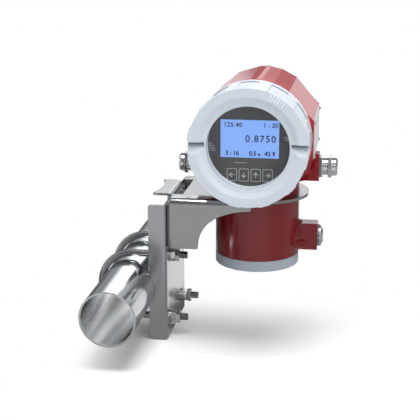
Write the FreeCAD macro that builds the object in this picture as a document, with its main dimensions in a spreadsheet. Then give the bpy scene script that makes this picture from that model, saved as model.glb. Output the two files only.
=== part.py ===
import FreeCAD, Part
import math
import os
import Sketcher
from collections import namedtuple
from FreeCAD import Placement, Rotation, Vector

# Remote transmitter of a coriolis flow meter, clamped to a two inch pipe.
# Frame: origin on the pipe's axis, midway between the two U-bolts. X runs from the
# pipe to the transmitter, Y along the pipe away from the display, Z up. Lengths in mm.

SIZES = {
    "pipe": {
        "pipe_od": 60.3,
        "pipe_wall": 2.0,
        "pipe_length": 302.0,
        "saddle_gap": 0.1,
    },
    "saddle channel": {
        "channel_sheet": 3.0,
        "channel_half_width": 57.0,
        "channel_back": 44.0,
        "channel_flange": 20.0,
        "channel_top": 97.6,
        "channel_bottom": -57.5,
        "channel_bend": 4.0,
        "channel_corner": 3.0,
    },
    "U-bolts": {
        "rod_od": 8.0,
        "rod_clearance": 2.35,
        "rod_pipe_gap": 0.3,
        "rod_spacing": 72.4,
        "rod_tip": 64.0,
        "rod_chamfer": 0.8,
        "rod_hole_gap": 0.4,
        "washer_od": 16.0,
        "washer_thick": 1.6,
        "nut_flats": 13.0,
        "nut_height": 5.1,
        "nut_chamfer": 1.0,
        "thread_gap": 0.05,
    },
    "transmitter bracket": {
        "sheet": 3.0,
        "bend_inner": 3.0,
        "bracket_half_width": 57.0,
        "bracket_bottom": 50.0,
        "bracket_top": 105.5,
        "meter_reach": 137.2,
        "gusset_foot": 78.8,
        "gusset_corner": 2.5,
        "gusset_rise_radius": 37.0,
        "gusset_run_radius": 85.0,
        "gusset_knee_back": 36.0,
        "gusset_knee_drop": 8.0,
        "gusset_tip_back": 1.2,
        "gusset_tip_height": 94.4,
        "relief_width": 2.4,
        "window_half_width": 35.0,
        "window_end": 59.0,
        "tongue_half_width": 32.0,
        "tongue_reach": 19.0,
        "notch_half_width": 30.0,
        "notch_depth": 5.3,
        "wire_hole_radius": 11.0,
        "neck_screw_circle": 33.0,
        "screw_hole_gap": 0.3,
        "plate_screw_half_spacing": 38.0,
        "plate_screw_low": 62.0,
        "plate_screw_high": 88.0,
        "screw_od": 6.0,
        "screw_flats": 10.0,
        "screw_head": 4.0,
        "screw_nut_height": 5.0,
        "plate_screw_tail": 1.5,
    },
    "cable hubs": {
        "hub_flats": 30.0,
        "hub_reach": 67.8,
        "hub_bore": 10.0,
        "saddle_radius": 20.5,
        "saddle_tip_radius": 16.5,
    },
    "terminal box": {
        "box_radius": 46.6,
        "box_seam": 35.7,
        "box_wall": 5.0,
        "box_roof": 6.0,
        "box_hub_height": 55.4,
        "box_thread_radius": 42.0,
        "box_thread_length": 8.2,
        "box_thread_wall": 3.2,
        "rib_radius": 4.6,
        "rib_forward": 16.5,
        "rib_drop": 6.2,
        "rib_end": 54.0,
        "cap_height": 11.9,
        "cap_floor": 3.7,
        "cap_gap": 0.3,
        "cap_slot_depth": 2.0,
        "cap_slot_width": 9.0,
        "cap_slot_length": 60.0,
        "post_radius": 3.0,
        "box_block_length": 52.0,
        "box_block_width": 18.0,
        "box_block_height": 13.0,
        "box_post_length": 14.0,
        "box_post_inset": 7.0,
        "neck_screw_length": 18.0,
    },
    "seals": {
        "seal_gap": 0.35,
        "cover_seal_radius": 1.25,
        "cap_seal_radius": 1.05,
    },
    "head housing": {
        "head_height": 173.1,
        "housing_radius": 61.4,
        "housing_front": 50.7,
        "housing_back": 65.2,
        "ridge_height": 0.8,
        "pad_reach": 62.9,
        "pad_top": 20.0,
        "pad_bottom": -21.6,
        "pad_foot_reach": 57.6,
        "pad_foot": -37.0,
        "left_pad_reach": 60.2,
        "left_pad_top": 12.0,
        "hub_drop": 38.9,
        "neck_overlap": 3.0,
        "housing_cavity": 55.5,
        "partition_front": 18.0,
        "partition_thick": 6.0,
        "spigot_radius": 54.9,
        "spigot_length": 26.8,
        "spigot_wall": 4.7,
        "back_bore": 48.0,
        "back_thread_length": 14.0,
    },
    "front cover": {
        "cover_radius": 61.75,
        "cover_depth": 56.1,
        "cover_shoulder_gap": 0.3,
        "cover_edge_bevel": 0.7,
        "cover_face_inner": 51.8,
        "cover_step_radius": 46.5,
        "cover_step_depth": 2.3,
        "window_radius": 42.3,
        "window_depth": 2.9,
        "window_lip": 7.2,
        "thread_run_gap": 0.3,
        "cover_thread_start": 3.5,
        "cover_thread_end": 28.0,
        "cover_clear_step": 0.2,
        "grip_count": 12,
        "grip_half_width": 9.9,
        "grip_depth": 1.0,
        "grip_length": 45.0,
        "groove_upper": 5.0,
        "groove_lower": -7.0,
        "groove_depth": 5.6,
        "groove_inner": 44.0,
        "glass_radius": 46.8,
        "glass_thick": 6.0,
        "glass_gap": 0.35,
        "gasket_thick": 0.8,
        "ring_thick": 3.0,
    },
    "rear cover": {
        "rear_radius": 54.0,
        "rear_thick": 13.0,
        "rear_bevel": 2.5,
        "rear_thread_length": 11.0,
        "rear_wall": 5.0,
        "rear_seal_circle": 51.0,
        "rear_grip_count": 8,
        "rear_grip_radius": 5.0,
        "rear_grip_depth": 3.0,
    },
    "display": {
        "display_front": 85.7,
        "display_gap": 3.2,
        "overlay_thick": 1.0,
        "lcd_half_width": 30.0,
        "lcd_half_height": 19.6,
        "lcd_lift": 5.9,
        "lcd_rim": 2.5,
        "lcd_thick": 10.0,
        "lcd_front_gap": 0.3,
        "frame_thick": 12.0,
        "frame_wall": 2.5,
        "board_thick": 1.6,
        "board_radius": 45.0,
        "main_board_height": 12.0,
        "board_post_circle": 37.0,
        "module_length": 44.0,
        "module_width": 30.0,
        "module_height": 16.0,
        "back_block_length": 66.0,
        "back_block_width": 22.0,
        "back_block_height": 15.0,
        "back_block_lift": 14.0,
        "terminal_screw_od": 5.0,
        "terminal_screw_sink": 1.2,
        "terminal_screw_length": 6.0,
        "terminal_pitch": 9.0,
    },
    "nameplate": {
        "plate_length": 100.0,
        "plate_margin": 0.4,
        "plate_thick": 0.8,
        "plate_offset": 1.5,
        "rivet_radius": 2.2,
        "rivet_head": 1.5,
        "rivet_inset": 2.8,
    },
    "cable glands": {
        "gland_flats": 22.0,
        "gland_flange": 3.5,
        "gland_thread_length": 13.0,
        "gland_barrel_radius": 9.6,
        "gland_barrel_end": 9.0,
        "gland_nose_radius": 8.9,
        "gland_nose_end": 14.8,
        "gland_bore": 6.6,
        "gland_seat_radius": 8.15,
        "gland_seat_start": 9.9,
        "insert_radius": 7.8,
        "insert_bore": 6.0,
        "insert_end": 17.0,
        "dome_collar": 4.2,
        "dome_radius": 10.2,
        "dome_shoulder": 17.6,
        "dome_end": 19.7,
        "dome_mouth": 8.4,
        "dome_start_gap": 0.35,
    },
    "blind plug": {
        "plug_radius": 12.0,
        "plug_flange": 2.4,
        "plug_dome": 2.6,
        "plug_tip_radius": 6.5,
        "plug_slot_width": 2.2,
        "plug_slot_depth": 1.6,
        "plug_washer": 1.0,
        "plug_thread_length": 12.0,
    },
}

# Creases of the housing's outline, in degrees from the top towards the hub side.
LEFT_CREASES = (-63.5, -50.0, -28.8, -4.1)
RIDGE_CREASES = (2.1, 6.9)
RIGHT_CREASES = (19.3, 36.4, 63.5)
BELLY_CREASE = 127.0
RIDGE_SLOPE = 0.4

# Where the front cover came to rest when it was screwed home, in degrees.
GRIP_TURN = 2.3

# How far each nut and each lock nut ended up turned, in degrees.
NUT_TURNS = (8, 23, -12, 17)
LOCK_NUT_TURNS = (27, -5, 14, 31)

Round = namedtuple("Round", "x y radius")


def number(item):
    return item.value if isinstance(item, Size) else float(item)


def formula(item):
    return item.text if isinstance(item, Size) else repr(float(item))


class Size:
    # a length that keeps its value beside the sheet formula that gives it

    def __init__(self, value, text):
        self.value = float(value)
        self.text = text

    def __add__(self, other):
        return Size(self.value + number(other), "(%s + %s)" % (self.text, formula(other)))

    def __radd__(self, other):
        return Size(number(other) + self.value, "(%s + %s)" % (formula(other), self.text))

    def __sub__(self, other):
        return Size(self.value - number(other), "(%s - %s)" % (self.text, formula(other)))

    def __rsub__(self, other):
        return Size(number(other) - self.value, "(%s - %s)" % (formula(other), self.text))

    def __mul__(self, other):
        return Size(self.value * number(other), "(%s * %s)" % (self.text, formula(other)))

    def __rmul__(self, other):
        return self * other

    def __truediv__(self, other):
        return Size(self.value / number(other), "(%s / %s)" % (self.text, formula(other)))

    def __neg__(self):
        return self * -1

    def root(self):
        return Size(math.sqrt(self.value), "sqrt(%s)" % self.text)


class SizeSheet:
    # the driving sizes as cells of one sheet, each read as an attribute

    def __init__(self, document):
        sheet = document.addObject("Spreadsheet::Sheet", "sizes")
        row = 1
        for title, values in SIZES.items():
            sheet.set("A%d" % row, title)
            row += 1
            for name, value in values.items():
                sheet.set("A%d" % row, name)
                sheet.set("B%d" % row, repr(value))
                sheet.setAlias("B%d" % row, name)
                setattr(self, name, Size(value, "sizes." + name))
                row += 1
        document.recompute()


doc = FreeCAD.newDocument("flow_meter")
dim = SizeSheet(doc)
nodes = {}


def bind(item, path, size):
    item.setExpression(path, formula(size))


def origin_part(body, role):
    return [part for part in body.Origin.OriginFeatures if part.Role == role][0]


def new_body(label):
    body = doc.addObject("PartDesign::Body", label)
    body.Label = label
    return body


def keep(body):
    nodes[body.Label] = body
    return body


def place(body, x, y, z, rotation=Rotation()):
    body.Placement = Placement(Vector(number(x), number(y), number(z)), rotation)
    bind(body, "Placement.Base.x", x)
    bind(body, "Placement.Base.y", y)
    bind(body, "Placement.Base.z", z)


def pin_point(sketch, element, end, x, y):
    # fix one point of the sketch at a bound place
    for kind, size in (("DistanceX", x), ("DistanceY", y)):
        index = sketch.addConstraint(Sketcher.Constraint(kind, -1, 1, element, end, number(size)))
        if isinstance(size, Size):
            bind(sketch, "Constraints[%d]" % index, size)


def pin_radius(sketch, element, radius):
    index = sketch.addConstraint(Sketcher.Constraint("Radius", element, number(radius)))
    if isinstance(radius, Size):
        bind(sketch, "Constraints[%d]" % index, radius)


def draw_circle(sketch, ring):
    centre = Vector(number(ring.x), number(ring.y), 0)
    element = sketch.addGeometry(Part.Circle(centre, Vector(0, 0, 1), number(ring.radius)))
    pin_point(sketch, element, 3, ring.x, ring.y)
    pin_radius(sketch, element, ring.radius)


def arc_between(start, end, radius, left):
    # the shorter arc between two points, bending to the left or to the right
    chord = end - start
    half = chord.Length / 2
    inset = math.sqrt(max(radius * radius - half * half, 0))
    normal = Vector(-chord.y, chord.x, 0).normalize()
    centre = (start + end) * 0.5 + normal * (inset if left else -inset)
    first, last = (start, end) if left else (end, start)
    angles = [math.atan2(point.y - centre.y, point.x - centre.x) for point in (first, last)]
    circle = Part.Circle(centre, Vector(0, 0, 1), radius)
    return Part.ArcOfCircle(circle, angles[0], angles[1])


def draw_outline(sketch, points, closed=True):
    # Lines through points (x, y). A third value bends the stretch to the next point
    # with that radius, to the left, or to the right where a fourth value is "right".
    count = len(points)
    stretches = count if closed else count - 1
    ends = []
    for i in range(stretches):
        here, there = points[i], points[(i + 1) % count]
        start = Vector(number(here[0]), number(here[1]), 0)
        end = Vector(number(there[0]), number(there[1]), 0)
        if len(here) == 2:
            element = sketch.addGeometry(Part.LineSegment(start, end))
            ends.append((element, 1, 2))
            continue
        left = len(here) == 3
        element = sketch.addGeometry(arc_between(start, end, number(here[2]), left))
        ends.append((element, 1, 2) if left else (element, 2, 1))
    for i in range(stretches if closed else stretches - 1):
        one, two = ends[i], ends[(i + 1) % stretches]
        sketch.addConstraint(Sketcher.Constraint("Coincident", one[0], one[2], two[0], two[1]))
    for i, (element, first, last) in enumerate(ends):
        pin_point(sketch, element, first, points[i][0], points[i][1])
        if len(points[i]) > 2:
            pin_radius(sketch, element, points[i][2])
    if not closed:
        pin_point(sketch, ends[-1][0], ends[-1][2], points[-1][0], points[-1][1])


def sketch_on(body, plane, height=0.0):
    # a sketch on one of the body's own planes, moved along the body's axis to height
    sketch = body.newObject("Sketcher::SketchObject", body.Name + "_sketch")
    sketch.AttachmentSupport = [(origin_part(body, plane), "")]
    sketch.MapMode = "FlatFace"
    flip = -1.0 if plane == "XZ_Plane" else 1.0
    bind(sketch, "AttachmentOffset.Base.z", height * flip)
    return sketch


def draw(sketch, loops):
    for loop in loops:
        if isinstance(loop, Round):
            draw_circle(sketch, loop)
        else:
            draw_outline(sketch, loop)


def slab(body, plane, low, high, loops, cut=False):
    # fill or cut the loops between two places along the plane's axis
    low = low if isinstance(low, Size) else Size(low, formula(low))
    sketch = sketch_on(body, plane, (low + high) / 2)
    draw(sketch, loops)
    kind = "Pocket" if cut else "Pad"
    feature = body.newObject("PartDesign::" + kind, body.Name + "_" + kind.lower())
    feature.Profile = sketch
    feature.SideType = "Symmetric"
    bind(feature, "Length", high - low)
    return feature


def turn(body, points, cut=False):
    # turn a section of (radius, height) points about the body's Z axis
    sketch = sketch_on(body, "XZ_Plane")
    draw_outline(sketch, points)
    kind = "Groove" if cut else "Revolution"
    feature = body.newObject("PartDesign::" + kind, body.Name + "_" + kind.lower())
    feature.Profile = sketch
    feature.ReferenceAxis = (sketch, ["V_Axis"])
    feature.Angle = 360
    return feature


def loft(body, plane, low, low_loop, high, high_loop):
    first = sketch_on(body, plane, low)
    draw(first, [low_loop])
    second = sketch_on(body, plane, high)
    draw(second, [high_loop])
    feature = body.newObject("PartDesign::AdditiveLoft", body.Name + "_loft")
    feature.Profile = first
    feature.Sections = [second]
    return feature


def repeat_round(body, feature, count):
    # repeat a feature evenly round the body's Z axis
    pattern = body.newObject("PartDesign::PolarPattern", body.Name + "_pattern")
    pattern.Originals = [feature]
    pattern.Axis = (origin_part(body, "Z_Axis"), [""])
    pattern.Angle = 360
    bind(pattern, "Occurrences", count)
    body.Tip = pattern
    return pattern


def soften(body, kind, size, chosen):
    # fillet or chamfer the edges that the test picks
    doc.recompute()
    base = body.Tip
    names = ["Edge%d" % (i + 1) for i, edge in enumerate(base.Shape.Edges) if chosen(edge.BoundBox)]
    if not names:
        raise RuntimeError("no edge to soften on " + body.Label)
    feature = body.newObject("PartDesign::" + kind, body.Name + "_" + kind.lower())
    feature.Base = (base, names)
    bind(feature, "Radius" if kind == "Fillet" else "Size", size)
    return feature


def rectangle(left, low, right, high):
    return [(left, low), (right, low), (right, high), (left, high)]


def hexagon(x, y, flats, point_up=True):
    # a hexagon whose corners point along the sketch's Y, or along its X
    corner = flats / math.sqrt(3)
    side = corner / 2
    half = flats / 2
    if point_up:
        steps = [(0, corner), (-half, side), (-half, -side), (0, -corner), (half, -side), (half, side)]
    else:
        steps = [(corner, 0), (side, half), (-side, half), (-corner, 0), (-side, -half), (side, -half)]
    return [(x + right, y + up) for right, up in steps]


def near(value, target, slack=0.01):
    return abs(value - number(target)) < slack


def group(label, template, places):
    # separate copies of one solid, kept as one sub-part
    doc.recompute()
    copies = []
    for spot in places:
        copy = template.Shape.copy()
        copy.Placement = spot
        copies.append(copy)
    feature = doc.addObject("Part::Feature", label)
    feature.Label = label
    feature.Shape = Part.Compound(copies)
    nodes[label] = feature


def spot(x, y, z, rotation=Rotation()):
    return Placement(Vector(number(x), number(y), number(z)), rotation)


def square(half):
    # the four corners of a square about the origin
    return [(x, y) for x in (-half, half) for y in (-half, half)]


# local Z towards the viewer (-Y), +X, -X and straight down
FACE_FRONT = Rotation(Vector(1, 0, 0), 90)
FACE_RIGHT = Rotation(Vector(0, 1, 0), 90)
FACE_LEFT = Rotation(Vector(0, 1, 0), -90)
FACE_DOWN = Rotation(Vector(1, 0, 0), 180)

BOLT_HALF_SPACING = dim.rod_spacing / 2
ROD_BEND = dim.pipe_od / 2 + dim.rod_clearance + dim.rod_od / 2
BOLT_CENTRE = dim.rod_clearance - dim.rod_pipe_gap
BOLT_SIDES = (-BOLT_HALF_SPACING, BOLT_HALF_SPACING)
BOLT_PLACES = [(y, z) for y in BOLT_SIDES for z in (-ROD_BEND, ROD_BEND)]
PLATE_SCREW_PLACES = [
    (y, z)
    for y in (-dim.plate_screw_half_spacing, dim.plate_screw_half_spacing)
    for z in (dim.plate_screw_low, dim.plate_screw_high)
]
NECK_SCREW_STEP = dim.neck_screw_circle / math.sqrt(2)
NECK_SCREW_PLACES = square(NECK_SCREW_STEP)
POST_PLACES = square(dim.board_post_circle / math.sqrt(2))
SCREW_RADIUS = dim.screw_od / 2
SCREW_HOLE = SCREW_RADIUS + dim.screw_hole_gap
PLATE_BOTTOM = dim.bracket_top - dim.sheet
BOX_TOP = PLATE_BOTTOM
BEND_OUTER = dim.bend_inner + dim.sheet


def mounting_pipe():
    body = keep(new_body("mounting_pipe"))
    outer = Round(0, 0, dim.pipe_od / 2)
    inner = Round(0, 0, dim.pipe_od / 2 - dim.pipe_wall)
    slab(body, "XZ_Plane", -dim.pipe_length / 2, dim.pipe_length / 2, [outer, inner])


def saddle_channel():
    # folded from sheet: a web and two flanges, notched to sit on the pipe
    body = keep(new_body("saddle_channel"))
    wide = dim.channel_half_width
    back = dim.channel_back
    lip = back - dim.channel_flange
    inner_wide = wide - dim.channel_sheet
    inner_back = back - dim.channel_sheet
    bend = dim.channel_bend
    fold = bend - dim.channel_sheet
    profile = [
        (lip, -wide),
        (back - bend, -wide, bend),
        (back, bend - wide),
        (back, wide - bend, bend),
        (back - bend, wide),
        (lip, wide),
        (lip, inner_wide),
        (inner_back - fold, inner_wide, fold, "right"),
        (inner_back, inner_wide - fold),
        (inner_back, fold - inner_wide, fold, "right"),
        (inner_back - fold, -inner_wide),
        (lip, -inner_wide),
    ]
    slab(body, "XY_Plane", dim.channel_bottom, dim.channel_top, [profile])
    seat = Round(0, 0, dim.pipe_od / 2 + dim.saddle_gap)
    slab(body, "XZ_Plane", -wide - 1, wide + 1, [seat], cut=True)
    rod_hole = dim.rod_od / 2 + dim.rod_hole_gap
    holes = [Round(y, z, rod_hole) for y, z in BOLT_PLACES]
    holes += [Round(y, z, SCREW_HOLE) for y, z in PLATE_SCREW_PLACES]
    slab(body, "YZ_Plane", inner_back - 1, back + 1, holes, cut=True)

    def lip_corner(box):
        flat = near(box.XMin, lip) and near(box.XMax, lip) and near(box.ZMin, box.ZMax)
        return flat and (near(box.ZMin, dim.channel_top) or near(box.ZMin, dim.channel_bottom))

    soften(body, "Fillet", dim.channel_corner, lip_corner)


def u_bolt(label, y):
    # a round rod bent over the pipe's far side, with a leg above and below
    body = keep(new_body(label))
    bend = ROD_BEND
    path = sketch_on(body, "XZ_Plane", y)
    middle = BOLT_CENTRE
    points = [
        (dim.rod_tip, bend),
        (middle, bend, bend),
        (middle - bend, 0, bend),
        (middle, -bend),
        (dim.rod_tip, -bend),
    ]
    draw_outline(path, points, closed=False)
    section = sketch_on(body, "YZ_Plane", dim.rod_tip)
    draw_circle(section, Round(y, bend, dim.rod_od / 2))
    rod = body.newObject("PartDesign::AdditivePipe", label + "_rod")
    rod.Profile = section
    rod.Spine = (path, ["Edge1", "Edge2", "Edge3", "Edge4"])
    soften(body, "Chamfer", dim.rod_chamfer,
           lambda box: near(box.XMin, dim.rod_tip) and near(box.XMax, dim.rod_tip))


def bevel_corners(body, flats, low, high):
    # turn the corners of a hexagon off at one end
    out = dim.nut_chamfer
    edge = flats / 2 - 0.3
    if number(high) > number(low):
        turn(body, [(edge, high), (edge + 2 * out, high), (edge + 2 * out, high - out)], cut=True)
    else:
        turn(body, [(edge, high), (edge + 2 * out, high + out), (edge + 2 * out, high)], cut=True)


def clamp_fasteners():
    # washer, nut and lock nut on each of the four legs
    washer = new_body("washer_shape")
    slab(washer, "XY_Plane", 0, dim.washer_thick, [
        Round(0, 0, dim.washer_od / 2),
        Round(0, 0, dim.rod_od / 2 + dim.rod_hole_gap),
    ])
    nut = new_body("nut_shape")
    hole = Round(0, 0, dim.rod_od / 2 + dim.thread_gap)
    slab(nut, "XY_Plane", 0, dim.nut_height, [hexagon(0, 0, dim.nut_flats), hole])
    bevel_corners(nut, dim.nut_flats, 0, dim.nut_height)
    bevel_corners(nut, dim.nut_flats, dim.nut_height, 0)
    washer_face = dim.channel_back + dim.washer_thick
    for label, template, x, turns in (
        ("u_bolt_washers", washer, dim.channel_back, (0, 0, 0, 0)),
        ("u_bolt_nuts", nut, washer_face, NUT_TURNS),
        ("u_bolt_lock_nuts", nut, washer_face + dim.nut_height, LOCK_NUT_TURNS),
    ):
        places = []
        for (y, z), angle in zip(BOLT_PLACES, turns):
            places.append(spot(x, y, z, FACE_RIGHT * Rotation(Vector(0, 0, 1), angle)))
        group(label, template, places)


def gusset_cut():
    # what is cut away below the top plate: the side walls end in two blended curves
    foot = dim.gusset_foot
    bottom = dim.bracket_bottom
    corner = dim.gusset_corner
    tip = dim.meter_reach - dim.gusset_tip_back
    tip_height = dim.gusset_tip_height
    past = dim.meter_reach + 2
    fold = dim.bracket_top - BEND_OUTER
    return [
        (foot - corner, bottom - 1),
        (foot - corner, bottom, corner),
        (foot, bottom + corner, dim.gusset_rise_radius, "right"),
        (tip - dim.gusset_knee_back, tip_height - dim.gusset_knee_drop, dim.gusset_run_radius, "right"),
        (tip - corner, tip_height, corner),
        (tip, tip_height + corner),
        (tip, fold),
        (past, fold),
        (past, bottom - 1),
    ]


def transmitter_bracket():
    # One blank: a back plate, two side walls and a round-ended shelf folded to the
    # right, and a notched tongue folded to the left out of the shelf's window.
    body = keep(new_body("transmitter_bracket"))
    wide = dim.bracket_half_width
    inner = wide - dim.sheet
    top = dim.bracket_top
    bottom = dim.bracket_bottom
    bend = BEND_OUTER
    fold = top - bend
    back = dim.channel_back
    plate = back + dim.sheet
    reach = dim.meter_reach
    skin = [
        (-wide, bottom),
        (-wide, fold, bend, "right"),
        (bend - wide, top),
        (wide - bend, top, bend, "right"),
        (wide, fold),
        (wide, bottom),
    ]
    hollow = [
        (inner, bottom),
        (inner, fold, dim.bend_inner),
        (wide - bend, PLATE_BOTTOM),
        (bend - wide, PLATE_BOTTOM, dim.bend_inner),
        (-inner, fold),
        (-inner, bottom),
    ]
    slab(body, "YZ_Plane", back, reach, [skin + hollow])
    slab(body, "YZ_Plane", back, plate, [skin])
    blend = 0.5
    not_low = bottom + 1
    soften(body, "Fillet", bend - blend,
           lambda box: near(box.XMin, back) and near(box.XMax, back) and box.ZMax > number(not_low))
    soften(body, "Fillet", dim.bend_inner - blend,
           lambda box: near(box.XMin, plate) and near(box.XMax, plate) and box.ZMax > number(not_low))
    slab(body, "XZ_Plane", -wide - 1, wide + 1, [gusset_cut()], cut=True)
    disc = [(reach, -wide, wide), (reach + wide, 0, wide), (reach, wide)]
    slab(body, "XY_Plane", PLATE_BOTTOM, top, [disc])
    tip = reach - dim.gusset_tip_back
    reliefs = [
        rectangle(tip, wide - bend, tip + dim.relief_width, wide + 1),
        rectangle(tip, -wide - 1, tip + dim.relief_width, bend - wide),
    ]
    slab(body, "XY_Plane", fold - 1, top + 1, reliefs, cut=True)
    window = rectangle(back - 1, -dim.window_half_width, dim.window_end, dim.window_half_width)
    slab(body, "XY_Plane", fold, top + 1, [window], cut=True)
    tongue_end = back - dim.tongue_reach
    tongue = [
        (back, fold - 1),
        (plate, fold - 1),
        (plate, fold, bend),
        (plate - bend, top),
        (tongue_end, top),
        (tongue_end, PLATE_BOTTOM),
        (plate - bend, PLATE_BOTTOM, dim.bend_inner, "right"),
        (back, fold),
    ]
    slab(body, "XZ_Plane", -dim.tongue_half_width, dim.tongue_half_width, [tongue])
    deep = dim.notch_depth
    half = dim.notch_half_width
    notch_radius = (half * half + deep * deep) / (deep * 2)
    notch = [
        (tongue_end, -half, notch_radius),
        (tongue_end, half),
        (tongue_end - 2, half),
        (tongue_end - 2, -half),
    ]
    slab(body, "XY_Plane", PLATE_BOTTOM - 1, top + 1, [notch], cut=True)
    shelf_holes = [Round(reach, 0, dim.wire_hole_radius)]
    shelf_holes += [Round(reach + x, y, SCREW_HOLE) for x, y in NECK_SCREW_PLACES]
    slab(body, "XY_Plane", PLATE_BOTTOM - 1, top + 1, shelf_holes, cut=True)
    plate_holes = [Round(y, z, SCREW_HOLE) for y, z in PLATE_SCREW_PLACES]
    slab(body, "YZ_Plane", back - 1, plate + 1, plate_holes, cut=True)


def plate_screws():
    # hexagon screws through the back plate and the channel's web, with nuts inside
    plate = dim.channel_back + dim.sheet
    web = dim.channel_back - dim.channel_sheet
    grip = dim.sheet + dim.channel_sheet + dim.screw_nut_height + dim.plate_screw_tail
    screw = new_body("plate_screw_shape")
    slab(screw, "XY_Plane", -grip, 0, [Round(0, 0, SCREW_RADIUS)])
    slab(screw, "XY_Plane", 0, dim.screw_head, [hexagon(0, 0, dim.screw_flats)])
    bevel_corners(screw, dim.screw_flats, 0, dim.screw_head)
    group("bracket_screws", screw, [spot(plate, y, z, FACE_RIGHT) for y, z in PLATE_SCREW_PLACES])
    nut = new_body("plate_nut_shape")
    hole = Round(0, 0, SCREW_RADIUS + dim.thread_gap)
    slab(nut, "XY_Plane", 0, dim.screw_nut_height, [hexagon(0, 0, dim.screw_flats), hole])
    bevel_corners(nut, dim.screw_flats, 0, dim.screw_nut_height)
    group("bracket_nuts", nut, [spot(web, y, z, FACE_LEFT) for y, z in PLATE_SCREW_PLACES])


def neck_screws():
    # four screws from inside the terminal box up through the shelf into the neck
    screw = new_body("neck_screw_shape")
    slab(screw, "XY_Plane", 0, dim.neck_screw_length, [Round(0, 0, SCREW_RADIUS)])
    slab(screw, "XY_Plane", -dim.screw_head, 0, [Round(0, 0, dim.screw_flats / 2)])
    socket = hexagon(0, 0, dim.screw_flats / 2)
    slab(screw, "XY_Plane", -dim.screw_head, -dim.screw_head / 2, [socket], cut=True)
    roof = BOX_TOP - dim.box_roof
    group("neck_screws", screw, [spot(dim.meter_reach + x, y, roof) for x, y in NECK_SCREW_PLACES])


def hub_hexagon(across, along):
    return hexagon(across, along, dim.hub_flats)


def terminal_box():
    # round casting under the shelf, open below, with one cable hub
    body = keep(new_body("terminal_box"))
    radius = dim.box_radius
    roof = BOX_TOP - dim.box_roof
    thread_low = dim.box_seam - dim.box_thread_length
    inner = radius - dim.box_wall
    thread_inner = dim.box_thread_radius - dim.box_thread_wall
    slab(body, "XY_Plane", dim.box_seam, BOX_TOP, [Round(0, 0, radius)])
    slab(body, "XY_Plane", thread_low, dim.box_seam, [Round(0, 0, dim.box_thread_radius)])
    hub = dim.box_hub_height
    hub_loop = hexagon(0, hub, dim.hub_flats, point_up=False)
    slab(body, "YZ_Plane", inner - 8, dim.hub_reach, [hub_loop])
    loft(body, "YZ_Plane", inner - 4, Round(0, hub, dim.saddle_radius),
         radius + 4, Round(0, hub, dim.saddle_tip_radius))
    rib = Round(-dim.rib_forward, hub - dim.rib_drop, dim.rib_radius)
    slab(body, "YZ_Plane", inner - 5, dim.rib_end, [rib])
    cavity = [
        (0, thread_low - 1),
        (thread_inner, thread_low - 1),
        (thread_inner, dim.box_seam + 2),
        (inner, dim.box_seam + 2 + dim.box_wall),
        (inner, roof),
        (0, roof),
    ]
    turn(body, cavity, cut=True)
    slab(body, "YZ_Plane", inner - 10, dim.hub_reach + 1, [Round(0, hub, dim.hub_bore)], cut=True)
    roof_holes = [Round(0, 0, dim.wire_hole_radius)]
    roof_holes += [Round(x, y, SCREW_HOLE) for x, y in NECK_SCREW_PLACES]
    slab(body, "XY_Plane", roof - 1, BOX_TOP + 1, roof_holes, cut=True)
    place(body, dim.meter_reach, 0, 0)


def terminal_box_cap():
    # grey screw cap that closes the terminal box from below
    body = keep(new_body("terminal_box_cap"))
    high = dim.box_seam - dim.cap_gap
    low = high - dim.cap_height
    floor = low + dim.cap_floor
    thread = dim.box_thread_radius + dim.thread_run_gap
    recess_radius = thread + 2 * dim.cap_seal_radius + dim.seal_gap * 2
    recess_low = high - 2 * dim.cap_seal_radius - dim.seal_gap
    section = [
        (0, low),
        (dim.box_radius - 1, low),
        (dim.box_radius, low + 1),
        (dim.box_radius, high),
        (recess_radius, high),
        (recess_radius, recess_low),
        (thread, recess_low),
        (thread, floor),
        (0, floor),
    ]
    turn(body, section)
    slot_end = dim.cap_slot_length / 2
    slot_side = dim.cap_slot_width / 2
    slot = rectangle(-slot_end, -slot_side, slot_end, slot_side)
    slab(body, "XY_Plane", low - 1, low + dim.cap_slot_depth, [slot], cut=True)
    place(body, dim.meter_reach, 0, 0)


def seal_ring(label, circle, radius):
    # a round rubber ring about the local Z axis
    ring = doc.addObject("Part::Torus", label)
    ring.Label = label
    bind(ring, "Radius1", circle)
    bind(ring, "Radius2", radius)
    nodes[label] = ring
    return ring


def terminal_cap_seal():
    circle = dim.box_thread_radius + dim.thread_run_gap + dim.seal_gap + dim.cap_seal_radius
    ring = seal_ring("terminal_cap_seal", circle, dim.cap_seal_radius)
    place(ring, dim.meter_reach, 0, dim.box_seam - dim.cap_gap - dim.cap_seal_radius)


def terminal_screw_row(label, count, pitch, x, y, z, rotation):
    # a row of slotted clamping screws sunk a little into their block
    screw = new_body(label + "_shape")
    low = -dim.terminal_screw_length
    slab(screw, "XY_Plane", low, 0, [Round(0, 0, dim.terminal_screw_od / 2)])
    slot = rectangle(-dim.terminal_screw_od, -0.4, dim.terminal_screw_od, 0.4)
    slab(screw, "XY_Plane", -0.8, 1, [slot], cut=True)
    first = -pitch * (count - 1) / 2
    group(label, screw, [spot(x + first + pitch * i, y, z, rotation) for i in range(count)])


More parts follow.
